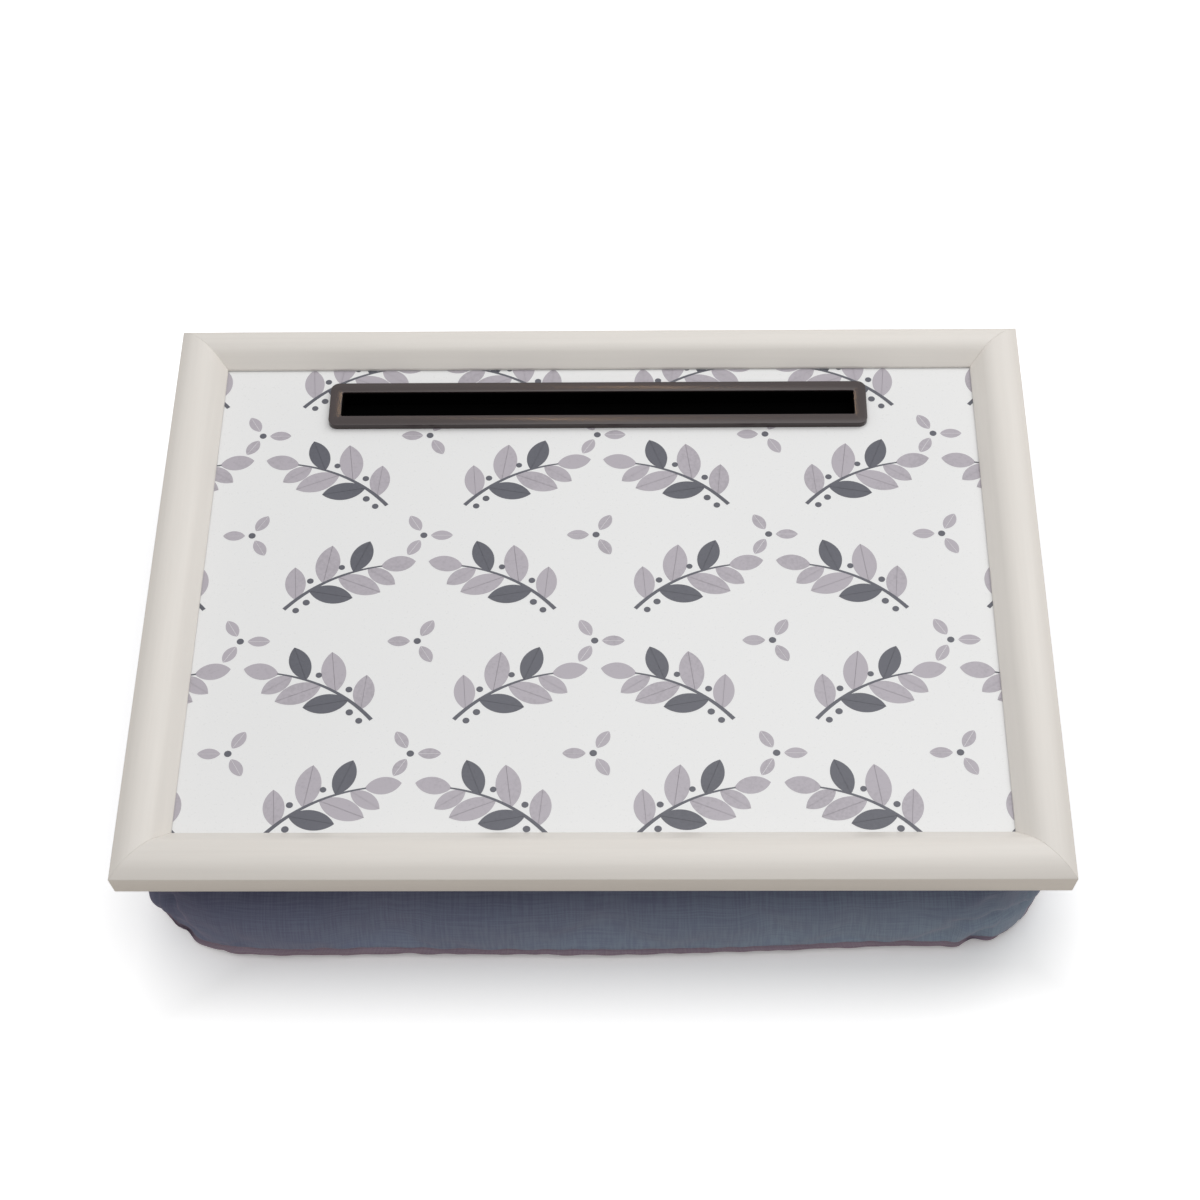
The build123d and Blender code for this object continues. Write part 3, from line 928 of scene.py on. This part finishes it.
class LAPTRAY_OT_print(bpy.types.Operator):
    """Prints the sheet with leaf sprigs and buds"""

    bl_idname = "laptray.print_sheet"
    bl_label = "Print sheet"

    def execute(self, context):
        sizes = context.scene.laptray_print
        leaves, darks = lay_out(sizes, model_sprig(sizes), model_cluster(sizes))
        layers = ((leaves, "printed_leaves", "ink_pale", 1.0), (darks, "printed_stems", "ink_dark", 1.6))
        for piece, name, finish, thickness_share in layers:
            trim_print(piece, context.scene.laptray_slot)
            thickness = sizes.ink_thickness * thickness_share
            piece.data.transform(Matrix.Translation((0, 0, SHEET_TOP + thickness)))
            apply_modifier(piece, "SOLIDIFY", thickness=thickness, offset=-1.0)
            finish_piece(piece, name, material_named(finish))
        return {"FINISHED"}


def add_block(low, high):
    """A block between two corners."""
    block = add_shape("cube", size=1.0)
    start_edit(block)
    bpy.ops.transform.resize(value=tuple(high - low))
    bpy.ops.transform.translate(value=tuple((low + high) / 2))
    end_edit()
    return block


def round_upright_edges(block, radius, segments):
    """Rounds the four upright edges of a block."""

    def is_upright(edge):
        first, second = edge_ends(edge)
        return abs(first.z - second.z) > MM and (first.xy - second.xy).length < MM / 10

    start_edit(block)
    select_where(block, "edges", is_upright)
    bpy.ops.mesh.bevel(offset=radius, segments=segments, affect="EDGES")
    end_edit()


def combine(target, other, operation):
    """Joins or cuts one solid with another, and removes the other."""
    apply_modifier(target, "BOOLEAN", operation=operation, solver="EXACT", object=other)
    bpy.data.objects.remove(other)


def model_nib(sizes, x, side):
    """A snap nib below the board: a block whose lower edge is drawn back to the wall."""
    wall_y = SLOT_MIDDLE.y + side * ((SLOT_HIGH.y - SLOT_LOW.y) / 2 - sizes.rim_width + sizes.wall)
    sunk_y = wall_y - side * NIB_SUNK
    reach_y = wall_y + side * sizes.nib_reach
    half_length = sizes.nib_length / 2
    low = Vector((x - half_length, min(sunk_y, reach_y), BOARD_BOTTOM - sizes.nib_height))
    high = Vector((x + half_length, max(sunk_y, reach_y), BOARD_BOTTOM))
    nib = add_block(low, high)
    middle_z = BOARD_BOTTOM - sizes.nib_height / 2

    def lower_outer(vertex):
        return vertex.co.z < middle_z and side * (vertex.co.y - wall_y) > sizes.nib_reach / 2

    start_edit(nib)
    select_where(nib, "verts", lower_outer)
    bpy.ops.transform.translate(value=(0, -side * sizes.nib_reach * NIB_SLANT, 0))
    end_edit()
    return nib


def at_height(place, height):
    """A place moved straight up or down to a height."""
    return Vector((place.x, place.y, height))


class LAPTRAY_OT_slot(bpy.types.Operator):
    """Models the moulded trough of the tablet slot with its raised rim"""

    bl_idname = "laptray.slot"
    bl_label = "Model tablet slot"

    def execute(self, context):
        sizes = context.scene.laptray_slot
        rim_width = Vector((sizes.rim_width, sizes.rim_width, 0))
        wall = Vector((sizes.wall, sizes.wall, 0))
        opening_low = at_height(SLOT_LOW + rim_width, LINING_BOTTOM)
        opening_high = at_height(SLOT_HIGH - rim_width, SLOT_HIGH.z + MM)
        moulding = add_block(at_height(SLOT_LOW, SHEET_TOP), SLOT_HIGH)
        round_upright_edges(moulding, sizes.rim_corner, segments=10)
        trough = add_block(
            at_height(opening_low - wall, SLOT_LOW.z), at_height(opening_high + wall, SHEET_TOP + MM))
        round_upright_edges(trough, sizes.inner_corner + sizes.wall, segments=6)
        combine(moulding, trough, "UNION")
        opening = add_block(opening_low, opening_high)
        round_upright_edges(opening, sizes.inner_corner, segments=5)
        combine(moulding, opening, "DIFFERENCE")
        span = SLOT_HIGH.x - SLOT_LOW.x - 2 * NIB_MARGIN * sizes.rim_width
        for index in range(sizes.nib_count):
            x = SLOT_MIDDLE.x - span / 2 + span * index / (sizes.nib_count - 1)
            for side in (-1, 1):
                combine(moulding, model_nib(sizes, x, side), "UNION")
        apply_modifier(moulding, "BEVEL", limit_method="ANGLE", angle_limit=SLOT_SHARP,
                       width=sizes.edge_round, segments=3)
        bpy.ops.object.shade_smooth_by_angle(angle=SLOT_SMOOTH)
        finish_piece(moulding, "slot_moulding", material_named("slot_plastic"))
        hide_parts("slot_insert")
        return {"FINISHED"}


def split_edges_along(piece, axis, cuts):
    """Divides every edge of a box of 2 by 2 by 2 that runs along one axis."""

    def runs_along(edge):
        first, second = edge_ends(edge)
        return abs(first[axis] - second[axis]) > 1.9

    select_where(piece, "edges", runs_along)
    bpy.ops.mesh.subdivide(number_cuts=cuts)


def side_level(sizes, share):
    """Inset, bow, corner radius and height, from 0 under the rails to 1 at the base seam."""
    top = FLANGE_LOW.z
    levels = [(top, sizes.top_inset, TOP_BOW, sizes.top_corner)]
    for level, inset, (bow_share, wider) in (
        (sizes.shoulder_height, sizes.shoulder_inset, SHOULDER_SHAPE),
        (sizes.belly_height, sizes.belly_inset, BELLY_SHAPE),
    ):
        levels.append((level, inset, sizes.seam_bow * bow_share, sizes.top_corner + wider))
    levels.append((sizes.seam_height, sizes.seam_inset, sizes.seam_bow, sizes.seam_corner))
    height = top + (sizes.seam_height - top) * share
    for upper, lower in zip(levels, levels[1:]):
        if height >= lower[0]:
            break
    part = (upper[0] - height) / (upper[0] - lower[0])
    inset, bow, corner = (start + (end - start) * part for start, end in zip(upper[1:], lower[1:]))
    return inset, bow, corner, height


def place_in_outline(across, along, inset, bow, corner):
    """Puts a point of the square plan, from -1 to 1 both ways, into a rounded, bowed rectangle."""
    half_x = TRAY_HALF_WIDTH - inset
    half_y = TRAY_HALF_DEPTH - inset
    x = abs(across) * half_x
    y = abs(along) * half_y
    beyond_x = (x - (half_x - corner)) / corner
    beyond_y = (y - (half_y - corner)) / corner
    if beyond_x > 0 and beyond_y > 0:
        reach = max(beyond_x, beyond_y)
        share = beyond_y / beyond_x if beyond_x >= beyond_y else 2 - beyond_x / beyond_y
        turn = math.pi / 4 * share
        x = half_x - corner + corner * reach * math.cos(turn)
        y = half_y - corner + corner * reach * math.sin(turn)
    x += bow * abs(across) * max(0.0, 1 - (y / (half_y - corner)) ** 2)
    y += bow * abs(along) * max(0.0, 1 - (abs(across) * half_x / (half_x - corner)) ** 2)
    return math.copysign(x, across), math.copysign(y, along)


def closer_at_ends(share, crowding):
    """Moves a place between -1 and 1 outwards, so that cells near the ends are smaller."""
    return share + crowding * math.sin(math.pi * share) / math.pi


def base_profile(sizes, along_cloth):
    """Below the seam: how far in and how high the base cloth lies, by the length of cloth."""
    radius = sizes.seam_height
    quarter = radius * math.pi / 2
    if along_cloth < quarter:
        turn = along_cloth / radius
        bulge = sizes.roll_bulge * math.sin(2 * turn)
        return radius * (1 - math.cos(turn)) - bulge, radius * (1 - math.sin(turn))
    return radius + (along_cloth - quarter), 0.0


def hump(place, middle, reach):
    """A smooth hump of height 1 round a middle."""
    return math.exp(-((place - middle) / reach) ** 2)


def divided_bag(sizes):
    """A cube of 2 by 2 by 2 in cells of the cloth, with a map of the cloth in metres."""
    bag = add_shape("cube", size=2.0)
    start_edit(bag)
    lengths = (2 * TRAY_HALF_WIDTH, 2 * TRAY_HALF_DEPTH, FLANGE_LOW.z)
    for axis, length in enumerate(lengths):
        split_edges_along(bag, axis, round(length / sizes.cell) - 1)
    bpy.ops.mesh.select_all(action="SELECT")
    bpy.ops.transform.resize(value=tuple(length / 2 for length in lengths))
    bpy.ops.uv.cube_project(cube_size=1.0, correct_aspect=False)
    bpy.ops.transform.resize(value=tuple(2 / length for length in lengths))
    end_edit()
    bag.data.uv_layers[0].name = "cloth"
    return bag


def place_in_bag(sizes, across, along, up):
    """Where a point of the divided cube lies on the bag, and how firmly it is held there."""
    if max(abs(across), abs(along)) > AT_EDGE:
        share = closer_at_ends((1 - up) / 2, sizes.crowding)
        inset, bow, corner, z = side_level(sizes, share)
        grip = 0.0
        if up > AT_EDGE:
            grip = 1.0
        elif up < -AT_EDGE:
            grip = SEAM_GRIP
    elif up > 0:
        inset, bow, corner, z = side_level(sizes, 0.0)
        grip = 1.0
    else:
        inset, bow, corner, _ = side_level(sizes, 1.0)
        from_seam = min((1 - abs(across)) * TRAY_HALF_WIDTH, (1 - abs(along)) * TRAY_HALF_DEPTH)
        inward, z = base_profile(sizes, from_seam)
        across *= (TRAY_HALF_WIDTH - inward) / (TRAY_HALF_WIDTH - from_seam)
        along *= (TRAY_HALF_DEPTH - inward) / (TRAY_HALF_DEPTH - from_seam)
        grip = min(1.0, BASE_GRIP + from_seam / sizes.roll_width)
    x, y = place_in_outline(across, along, inset, bow, corner)
    return x, y, z, grip


def settle(sizes, x, y, z, tuck):
    """Moves the front's foot out or in along the tray, and the base seam up or down."""
    place = x / TRAY_HALF_WIDTH
    frontness = max(0.0, -y / TRAY_HALF_DEPTH)
    out = sizes.left_foot * hump(place, LEFT_FOOT_PLACE, LEFT_FOOT_REACH)
    out -= sizes.lean * hump(place, LEAN_PLACE, LEAN_REACH)
    y -= out * frontness * (1 - z / FLANGE_LOW.z)
    near_seam = hump(z, sizes.seam_height, SEAM_REACH) * min(1.0, z / sizes.seam_height)
    wander = noise.noise(Vector((x * SEAM_WAVES, y * SEAM_WAVES, SEAM_SLICE)))
    z += sizes.seam_wave * near_seam * wander
    z -= sizes.corner_tuck * near_seam * min(1.0, tuck)
    z -= sizes.seam_slope * near_seam * place * frontness
    return x, y, z


def model_bag(sizes):
    """A closed bag with its base seam as one loop, shaped to the cushion's levels."""
    bag = divided_bag(sizes)
    held = bag.vertex_groups.new(name="held")
    seam = bag.vertex_groups.new(name="seam")
    base_faces = [face.index for face in bag.data.polygons if face.center.z < -AT_EDGE]
    for vertex in bag.data.vertices:
        across, along, up = vertex.co
        across = closer_at_ends(across, sizes.crowding)
        along = closer_at_ends(along, sizes.crowding)
        nearer, further = sorted((abs(across), abs(along)))
        x, y, z, grip = place_in_bag(sizes, across, along, up)
        tuck = max(0.0, nearer - sizes.tuck_start) / (1 - sizes.tuck_start)
        vertex.co = settle(sizes, x, y, z, tuck)
        if nearer > AT_EDGE:
            seam.add([vertex.index], CORNER_STITCH, "REPLACE")
        elif further > AT_EDGE and up < -AT_EDGE:
            seam.add([vertex.index], 1.0, "REPLACE")
        if grip > 0:
            held.add([vertex.index], grip, "REPLACE")
    bag.data.materials.append(material_named("cloth_side"))
    bag.data.materials.append(material_named("cloth_base"))
    for index in base_faces:
        bag.data.polygons[index].material_index = 1
    return bag


def crease_push(place, start, end, width, depth):
    """Across a crease the cloth dips and stands up again on both sides: the push of one point."""
    span = end - start
    share = max(0.0, min(1.0, (place - start).dot(span) / span.length_squared))
    away = (place - start - span * share).length / width
    return depth * (1 - CREASE_LIPS * away * away) * math.exp(-away * away)


def crease_corners(bag, sizes):
    """Presses the creases into the corners and raises the swellings, along the cloth's normals."""
    first_x = TRAY_HALF_WIDTH * CREASED_FROM[0]
    first_y = TRAY_HALF_DEPTH * CREASED_FROM[1]
    creases = []
    for side_x, side_y, trail, width, depth in CREASES:
        points = [Vector((side_x * x, side_y * y, z)) * MM for x, y, z in trail]
        for start, end in zip(points, points[1:]):
            creases.append((start, end, width * MM, depth * sizes.crease_share * MM))
    swellings = [(Vector(middle) * MM, reach * MM, height * MM) for middle, reach, height in SWELLINGS]
    normals = [vertex.normal.copy() for vertex in bag.data.vertices]
    for vertex, normal in zip(bag.data.vertices, normals):
        if abs(vertex.co.x) < first_x or abs(vertex.co.y) < first_y:
            continue
        push = sum(crease_push(vertex.co, *crease) for crease in creases)
        for middle, reach, height in swellings:
            push += height * hump((vertex.co - middle).length, 0.0, reach)
        fade = min(1.0, (FLANGE_LOW.z - vertex.co.z) / CREASE_FADE)
        vertex.co += normal * push * fade


def fill_bag(bag, sizes):
    """Blows the bag up with its filling as a cloth simulation, and limits how far a point moves."""
    before = [vertex.co.copy() for vertex in bag.data.vertices]
    only_select(bag)
    cloth = bag.modifiers.new("filling", "CLOTH")
    settings = cloth.settings
    settings.quality = 6
    settings.mass = 0.3
    settings.tension_stiffness = 25
    settings.compression_stiffness = 25
    settings.shear_stiffness = 8
    settings.bending_stiffness = 0.4
    settings.use_pressure = True
    settings.uniform_pressure_force = sizes.pressure
    settings.vertex_group_mass = "held"
    settings.pin_stiffness = 1.0
    settings.shrink_min = -sizes.spare_cloth
    settings.effector_weights.gravity = 0
    scene = bpy.context.scene
    for step in range(1, sizes.steps + 1):
        scene.frame_set(step)
    bpy.ops.object.modifier_apply(modifier=cloth.name)
    for vertex, start in zip(bag.data.vertices, before):
        move = vertex.co - start
        if move.length > sizes.largest_move:
            vertex.co = start + move * (sizes.largest_move / move.length)
        vertex.co.z = min(max(vertex.co.z, BASE_BOTTOM), FLANGE_LOW.z)
    scene.frame_set(1)


class LAPTRAY_OT_cushion(bpy.types.Operator):
    """Models the cushion: a sewn bag filled with beads, simulated as cloth"""

    bl_idname = "laptray.cushion"
    bl_label = "Model cushion"

    def execute(self, context):
        sizes = context.scene.laptray_cushion
        bag = model_bag(sizes)
        fill_bag(bag, sizes)
        apply_modifier(bag, "SUBSURF", levels=1, render_levels=1)
        crease_corners(bag, sizes)
        apply_modifier(bag, "DISPLACE", vertex_group="seam", strength=-sizes.seam_depth, mid_level=0.0)
        for vertex in bag.data.vertices:
            vertex.co.z = max(vertex.co.z, BASE_BOTTOM)
        bpy.ops.object.shade_smooth()
        finish_piece(bag, "cushion_bag", None)
        borders = ["cushion_" + side + "_border" for side in ("front", "back", "left", "right")]
        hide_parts(*borders, "cushion_base_panel", "bead_filling")
        return {"FINISHED"}


def near_staple(x, y, sizes):
    """From 0 between the staples to 1 at one, for a point of the flange."""
    first_x = TRAY_HALF_WIDTH - sizes.staple_end_distance
    first_y = TRAY_HALF_DEPTH - sizes.staple_end_distance
    wave_x = math.cos(2 * math.pi * (x + first_x) / (2 * first_x) * (sizes.staples_long - 1))
    wave_y = math.cos(2 * math.pi * (y + first_y) / (2 * first_y) * (sizes.staples_short - 1))
    on_long_side = TRAY_HALF_DEPTH - abs(y) < TRAY_HALF_WIDTH - abs(x)
    return (1 + (wave_x if on_long_side else wave_y)) / 2


def place_on_flange(sizes, x, y):
    """Where a point of the flat flange lies: its free edge sags and draws in between the staples."""
    half_x, half_y = FLANGE_HIGH.x, FLANGE_HIGH.y
    inset = TRAY_HALF_WIDTH - half_x
    from_edge = min(half_x - abs(x), half_y - abs(y))
    x, y = place_in_outline(x / half_x, y / half_y, inset, 0.0, sizes.flange_corner)
    free = max(0.0, 1 - from_edge / (sizes.top_inset - inset))
    fray = noise.noise(Vector((x, y, 0)) * FRAY_WAVES) * FRAY * free
    loose = 1 - near_staple(x, y, sizes)
    pull = 1 - (PULLED_IN * loose + fray + DRAWN_IN) * free / half_y
    sag = sizes.flange_sag * loose * free ** 1.5
    return x * pull, y * pull, FLANGE_HIGH.z - sag


class LAPTRAY_OT_flange(bpy.types.Operator):
    """Models the cushion's sewn flange: a sheet of cloth stapled under the rails"""

    bl_idname = "laptray.flange"
    bl_label = "Model flange"

    def execute(self, context):
        sizes = context.scene.laptray_cushion
        half_x, half_y = FLANGE_HIGH.x, FLANGE_HIGH.y
        cells_x, cells_y = FLANGE_CELLS
        sheet = add_shape("grid", x_subdivisions=cells_x, y_subdivisions=cells_y, size=2.0)
        sheet.data.uv_layers[0].name = "cloth"
        start_edit(sheet)
        bpy.ops.transform.resize(value=(half_x, half_y, 1.0))
        bpy.ops.uv.cube_project(cube_size=1.0, correct_aspect=False)
        end_edit()
        for vertex in sheet.data.vertices:
            vertex.co = place_on_flange(sizes, vertex.co.x, vertex.co.y)
        apply_modifier(sheet, "SOLIDIFY", thickness=sizes.cloth_thickness, offset=-1.0)
        bpy.ops.object.shade_smooth_by_angle(angle=SHEET_SMOOTH)
        finish_piece(sheet, "cushion_flange", material_named("cloth_side"))
        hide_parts("cushion_top_panel")
        return {"FINISHED"}


class LAPTRAY_OT_stage(bpy.types.Operator):
    """Sets the floor, the light and the camera"""

    bl_idname = "laptray.stage"
    bl_label = "Set stage"

    def execute(self, context):
        settings = context.scene.laptray_stage
        add_floor()
        add_sky(settings.sky_strength)
        add_lamp("key_light", settings.key_power, KEY_PLACE, LAMP_TARGET,
                 shape="RECTANGLE", size=1.8, size_y=2.2)
        add_lamp("side_light", settings.side_power, SIDE_PLACE, LAMP_TARGET,
                 shape="RECTANGLE", size=1.2, size_y=1.2)
        bulb = add_lamp("warm_bulb", settings.bulb_power, BULB_PLACE, SLOT_MIDDLE,
                        shape="DISK", size=0.06, color=BULB_COLOUR)
        lit = bpy.data.collections.new("lit_by_the_bulb")
        lit.objects.link(bpy.data.objects["slot_moulding"])
        bulb.light_linking.receiver_collection = lit
        add_camera(context.scene, settings)
        context.scene.view_settings.view_transform = "Standard"
        return {"FINISHED"}


def add_floor():
    """A white floor that keeps the tray's shadow, with a glow of painted light seen only by the camera
    that lifts the shadow away from the cushion's foot. To the camera it is as white as the background.
    """
    floor = add_shape("plane", size=8.0, location=(0, 0, -0.1 * MM))
    floor.name = "floor"
    material = bpy.data.materials.new("floor_white")
    material.use_nodes = True
    tree = material.node_tree
    tree.nodes.clear()
    ray = add_node(tree, "ShaderNodeLightPath", (0, 300))
    thrown = add_node(tree, "ShaderNodeBsdfDiffuse", (0, 0), {"Color": THROWN_COLOUR})
    seen = add_node(tree, "ShaderNodeBsdfDiffuse", (0, -200), {"Color": WHITE})
    glow = add_node(tree, "ShaderNodeEmission", (0, -400), {"Strength": glow_round_the_tray(tree)})
    both = add_node(tree, "ShaderNodeAddShader", (200, -200), {0: seen.outputs[0], 1: glow.outputs[0]})
    pick = add_node(tree, "ShaderNodeMixShader", (400, 0), {
        "Fac": ray.outputs["Is Camera Ray"], 1: thrown.outputs[0], 2: both.outputs[0]})
    add_node(tree, "ShaderNodeOutputMaterial", (600, 0), {"Surface": pick.outputs[0]})
    floor.data.materials.append(material)


def glow_round_the_tray(tree):
    """Strength of the floor's glow, painted light that lifts the tray's shadow: faint at the cushion's
    foot, more away from it on every side.
    """
    place = add_node(tree, "ShaderNodeTexCoord", (-1200, -400)).outputs["Object"]
    apart = add_node(tree, "ShaderNodeSeparateXYZ", (-1000, -400), {"Vector": place})
    distance = add_node(tree, "ShaderNodeVectorMath", (-600, -700), {0: place}, operation="LENGTH")
    glow = in_range(tree, distance.outputs["Value"], (-400, -700), *FAR_GLOW)
    for index, (axis, shift, *rise) in enumerate(GLOW_RISES):
        y = -300 - 200 * index
        from_middle = calculate(tree, "SUBTRACT", (-800, y), apart.outputs[axis], shift)
        away = calculate(tree, "ABSOLUTE", (-600, y), from_middle)
        near = in_range(tree, away, (-400, y), *rise)
        glow = calculate(tree, "MAXIMUM", (-200, y), glow, near)
    return glow


def add_sky(strength):
    """Even light from all round, seen as plain white by the camera and in reflections."""
    world = bpy.data.worlds.new("studio")
    bpy.context.scene.world = world
    world.use_nodes = True
    tree = world.node_tree
    tree.nodes.clear()
    ray = add_node(tree, "ShaderNodeLightPath", (-400, 300)).outputs
    either = calculate(tree, "MAXIMUM", (-100, 300), ray["Is Camera Ray"], ray["Is Glossy Ray"])
    any_of = calculate(tree, "MAXIMUM", (100, 300), either, ray["Is Transmission Ray"])
    even = add_node(tree, "ShaderNodeBackground", (0, 0), {"Color": WHITE, "Strength": strength})
    white = add_node(tree, "ShaderNodeBackground", (0, -200), {"Color": WHITE})
    pick = add_node(tree, "ShaderNodeMixShader", (400, 0), {
        "Fac": any_of, 1: even.outputs[0], 2: white.outputs[0]})
    add_node(tree, "ShaderNodeOutputWorld", (600, 0), {"Surface": pick.outputs[0]})


def add_lamp(name, power, place, target, **form):
    """An area lamp of a stated form that shines from a place to a target."""
    lamp = bpy.data.lights.new(name, "AREA")
    lamp.energy = power
    for key, value in form.items():
        setattr(lamp, key, value)
    stand = bpy.data.objects.new(name, lamp)
    bpy.context.scene.collection.objects.link(stand)
    stand.location = place
    stand.rotation_euler = (Vector(target) - Vector(place)).to_track_quat("-Z", "Y").to_euler()
    return stand


def add_camera(scene, settings):
    """The camera at the photograph's view."""
    cos_pitch = math.cos(settings.pitch)
    forward = Vector((
        math.sin(settings.yaw) * cos_pitch,
        math.cos(settings.yaw) * cos_pitch,
        -math.sin(settings.pitch),
    ))
    level = Vector((math.cos(settings.yaw), -math.sin(settings.yaw), 0))
    upward = level.cross(forward)
    right = math.cos(settings.roll) * level + math.sin(settings.roll) * upward
    up = -math.sin(settings.roll) * level + math.cos(settings.roll) * upward
    turn = Matrix((right, up, -forward)).transposed().to_4x4()
    data = bpy.data.cameras.new("camera")
    data.lens = settings.focal_pixels / settings.picture_pixels * data.sensor_width
    camera = bpy.data.objects.new("camera", data)
    camera.matrix_world = Matrix.Translation(settings.camera_place) @ turn
    scene.collection.objects.link(camera)
    scene.camera = camera


class LAPTRAY_PT_panel(bpy.types.Panel):
    """Lists the sizes, the colours and the steps of the lap tray"""

    bl_idname = "LAPTRAY_PT_panel"
    bl_label = "Lap tray"
    bl_space_type = "VIEW_3D"
    bl_region_type = "UI"
    bl_category = "Lap Tray"

    def draw(self, context):
        layout = self.layout
        for attribute, group in SETTINGS:
            box = layout.box()
            box.label(text=group.__doc__)
            settings = getattr(context.scene, attribute)
            for key in group.__annotations__:
                box.prop(settings, key)
        for step in STEPS:
            layout.operator(step.bl_idname)


SETTINGS = (
    ("laptray_frame", FrameSizes),
    ("laptray_print", PrintSizes),
    ("laptray_slot", SlotSizes),
    ("laptray_cushion", CushionSizes),
    ("laptray_colours", TrayColours),
    ("laptray_stage", StageSettings),
)
STEPS = (
    LAPTRAY_OT_finishes,
    LAPTRAY_OT_frame,
    LAPTRAY_OT_print,
    LAPTRAY_OT_slot,
    LAPTRAY_OT_cushion,
    LAPTRAY_OT_flange,
    LAPTRAY_OT_stage,
)


def register():
    """Adds the settings, the steps and the panel to Blender."""
    for attribute, group in SETTINGS:
        bpy.utils.register_class(group)
        setattr(bpy.types.Scene, attribute, bpy.props.PointerProperty(type=group))
    for step in STEPS:
        bpy.utils.register_class(step)
    bpy.utils.register_class(LAPTRAY_PT_panel)


def unregister():
    """Takes them out again."""
    bpy.utils.unregister_class(LAPTRAY_PT_panel)
    for step in reversed(STEPS):
        bpy.utils.unregister_class(step)
    for attribute, group in reversed(SETTINGS):
        delattr(bpy.types.Scene, attribute)
        bpy.utils.unregister_class(group)


def main():
    """Runs every step in order."""
    register()
    bpy.ops.laptray.finishes()
    bpy.ops.laptray.frame()
    bpy.ops.laptray.print_sheet()
    bpy.ops.laptray.slot()
    bpy.ops.laptray.cushion()
    bpy.ops.laptray.flange()
    bpy.ops.laptray.stage()


if __name__ == "__main__":
    main()
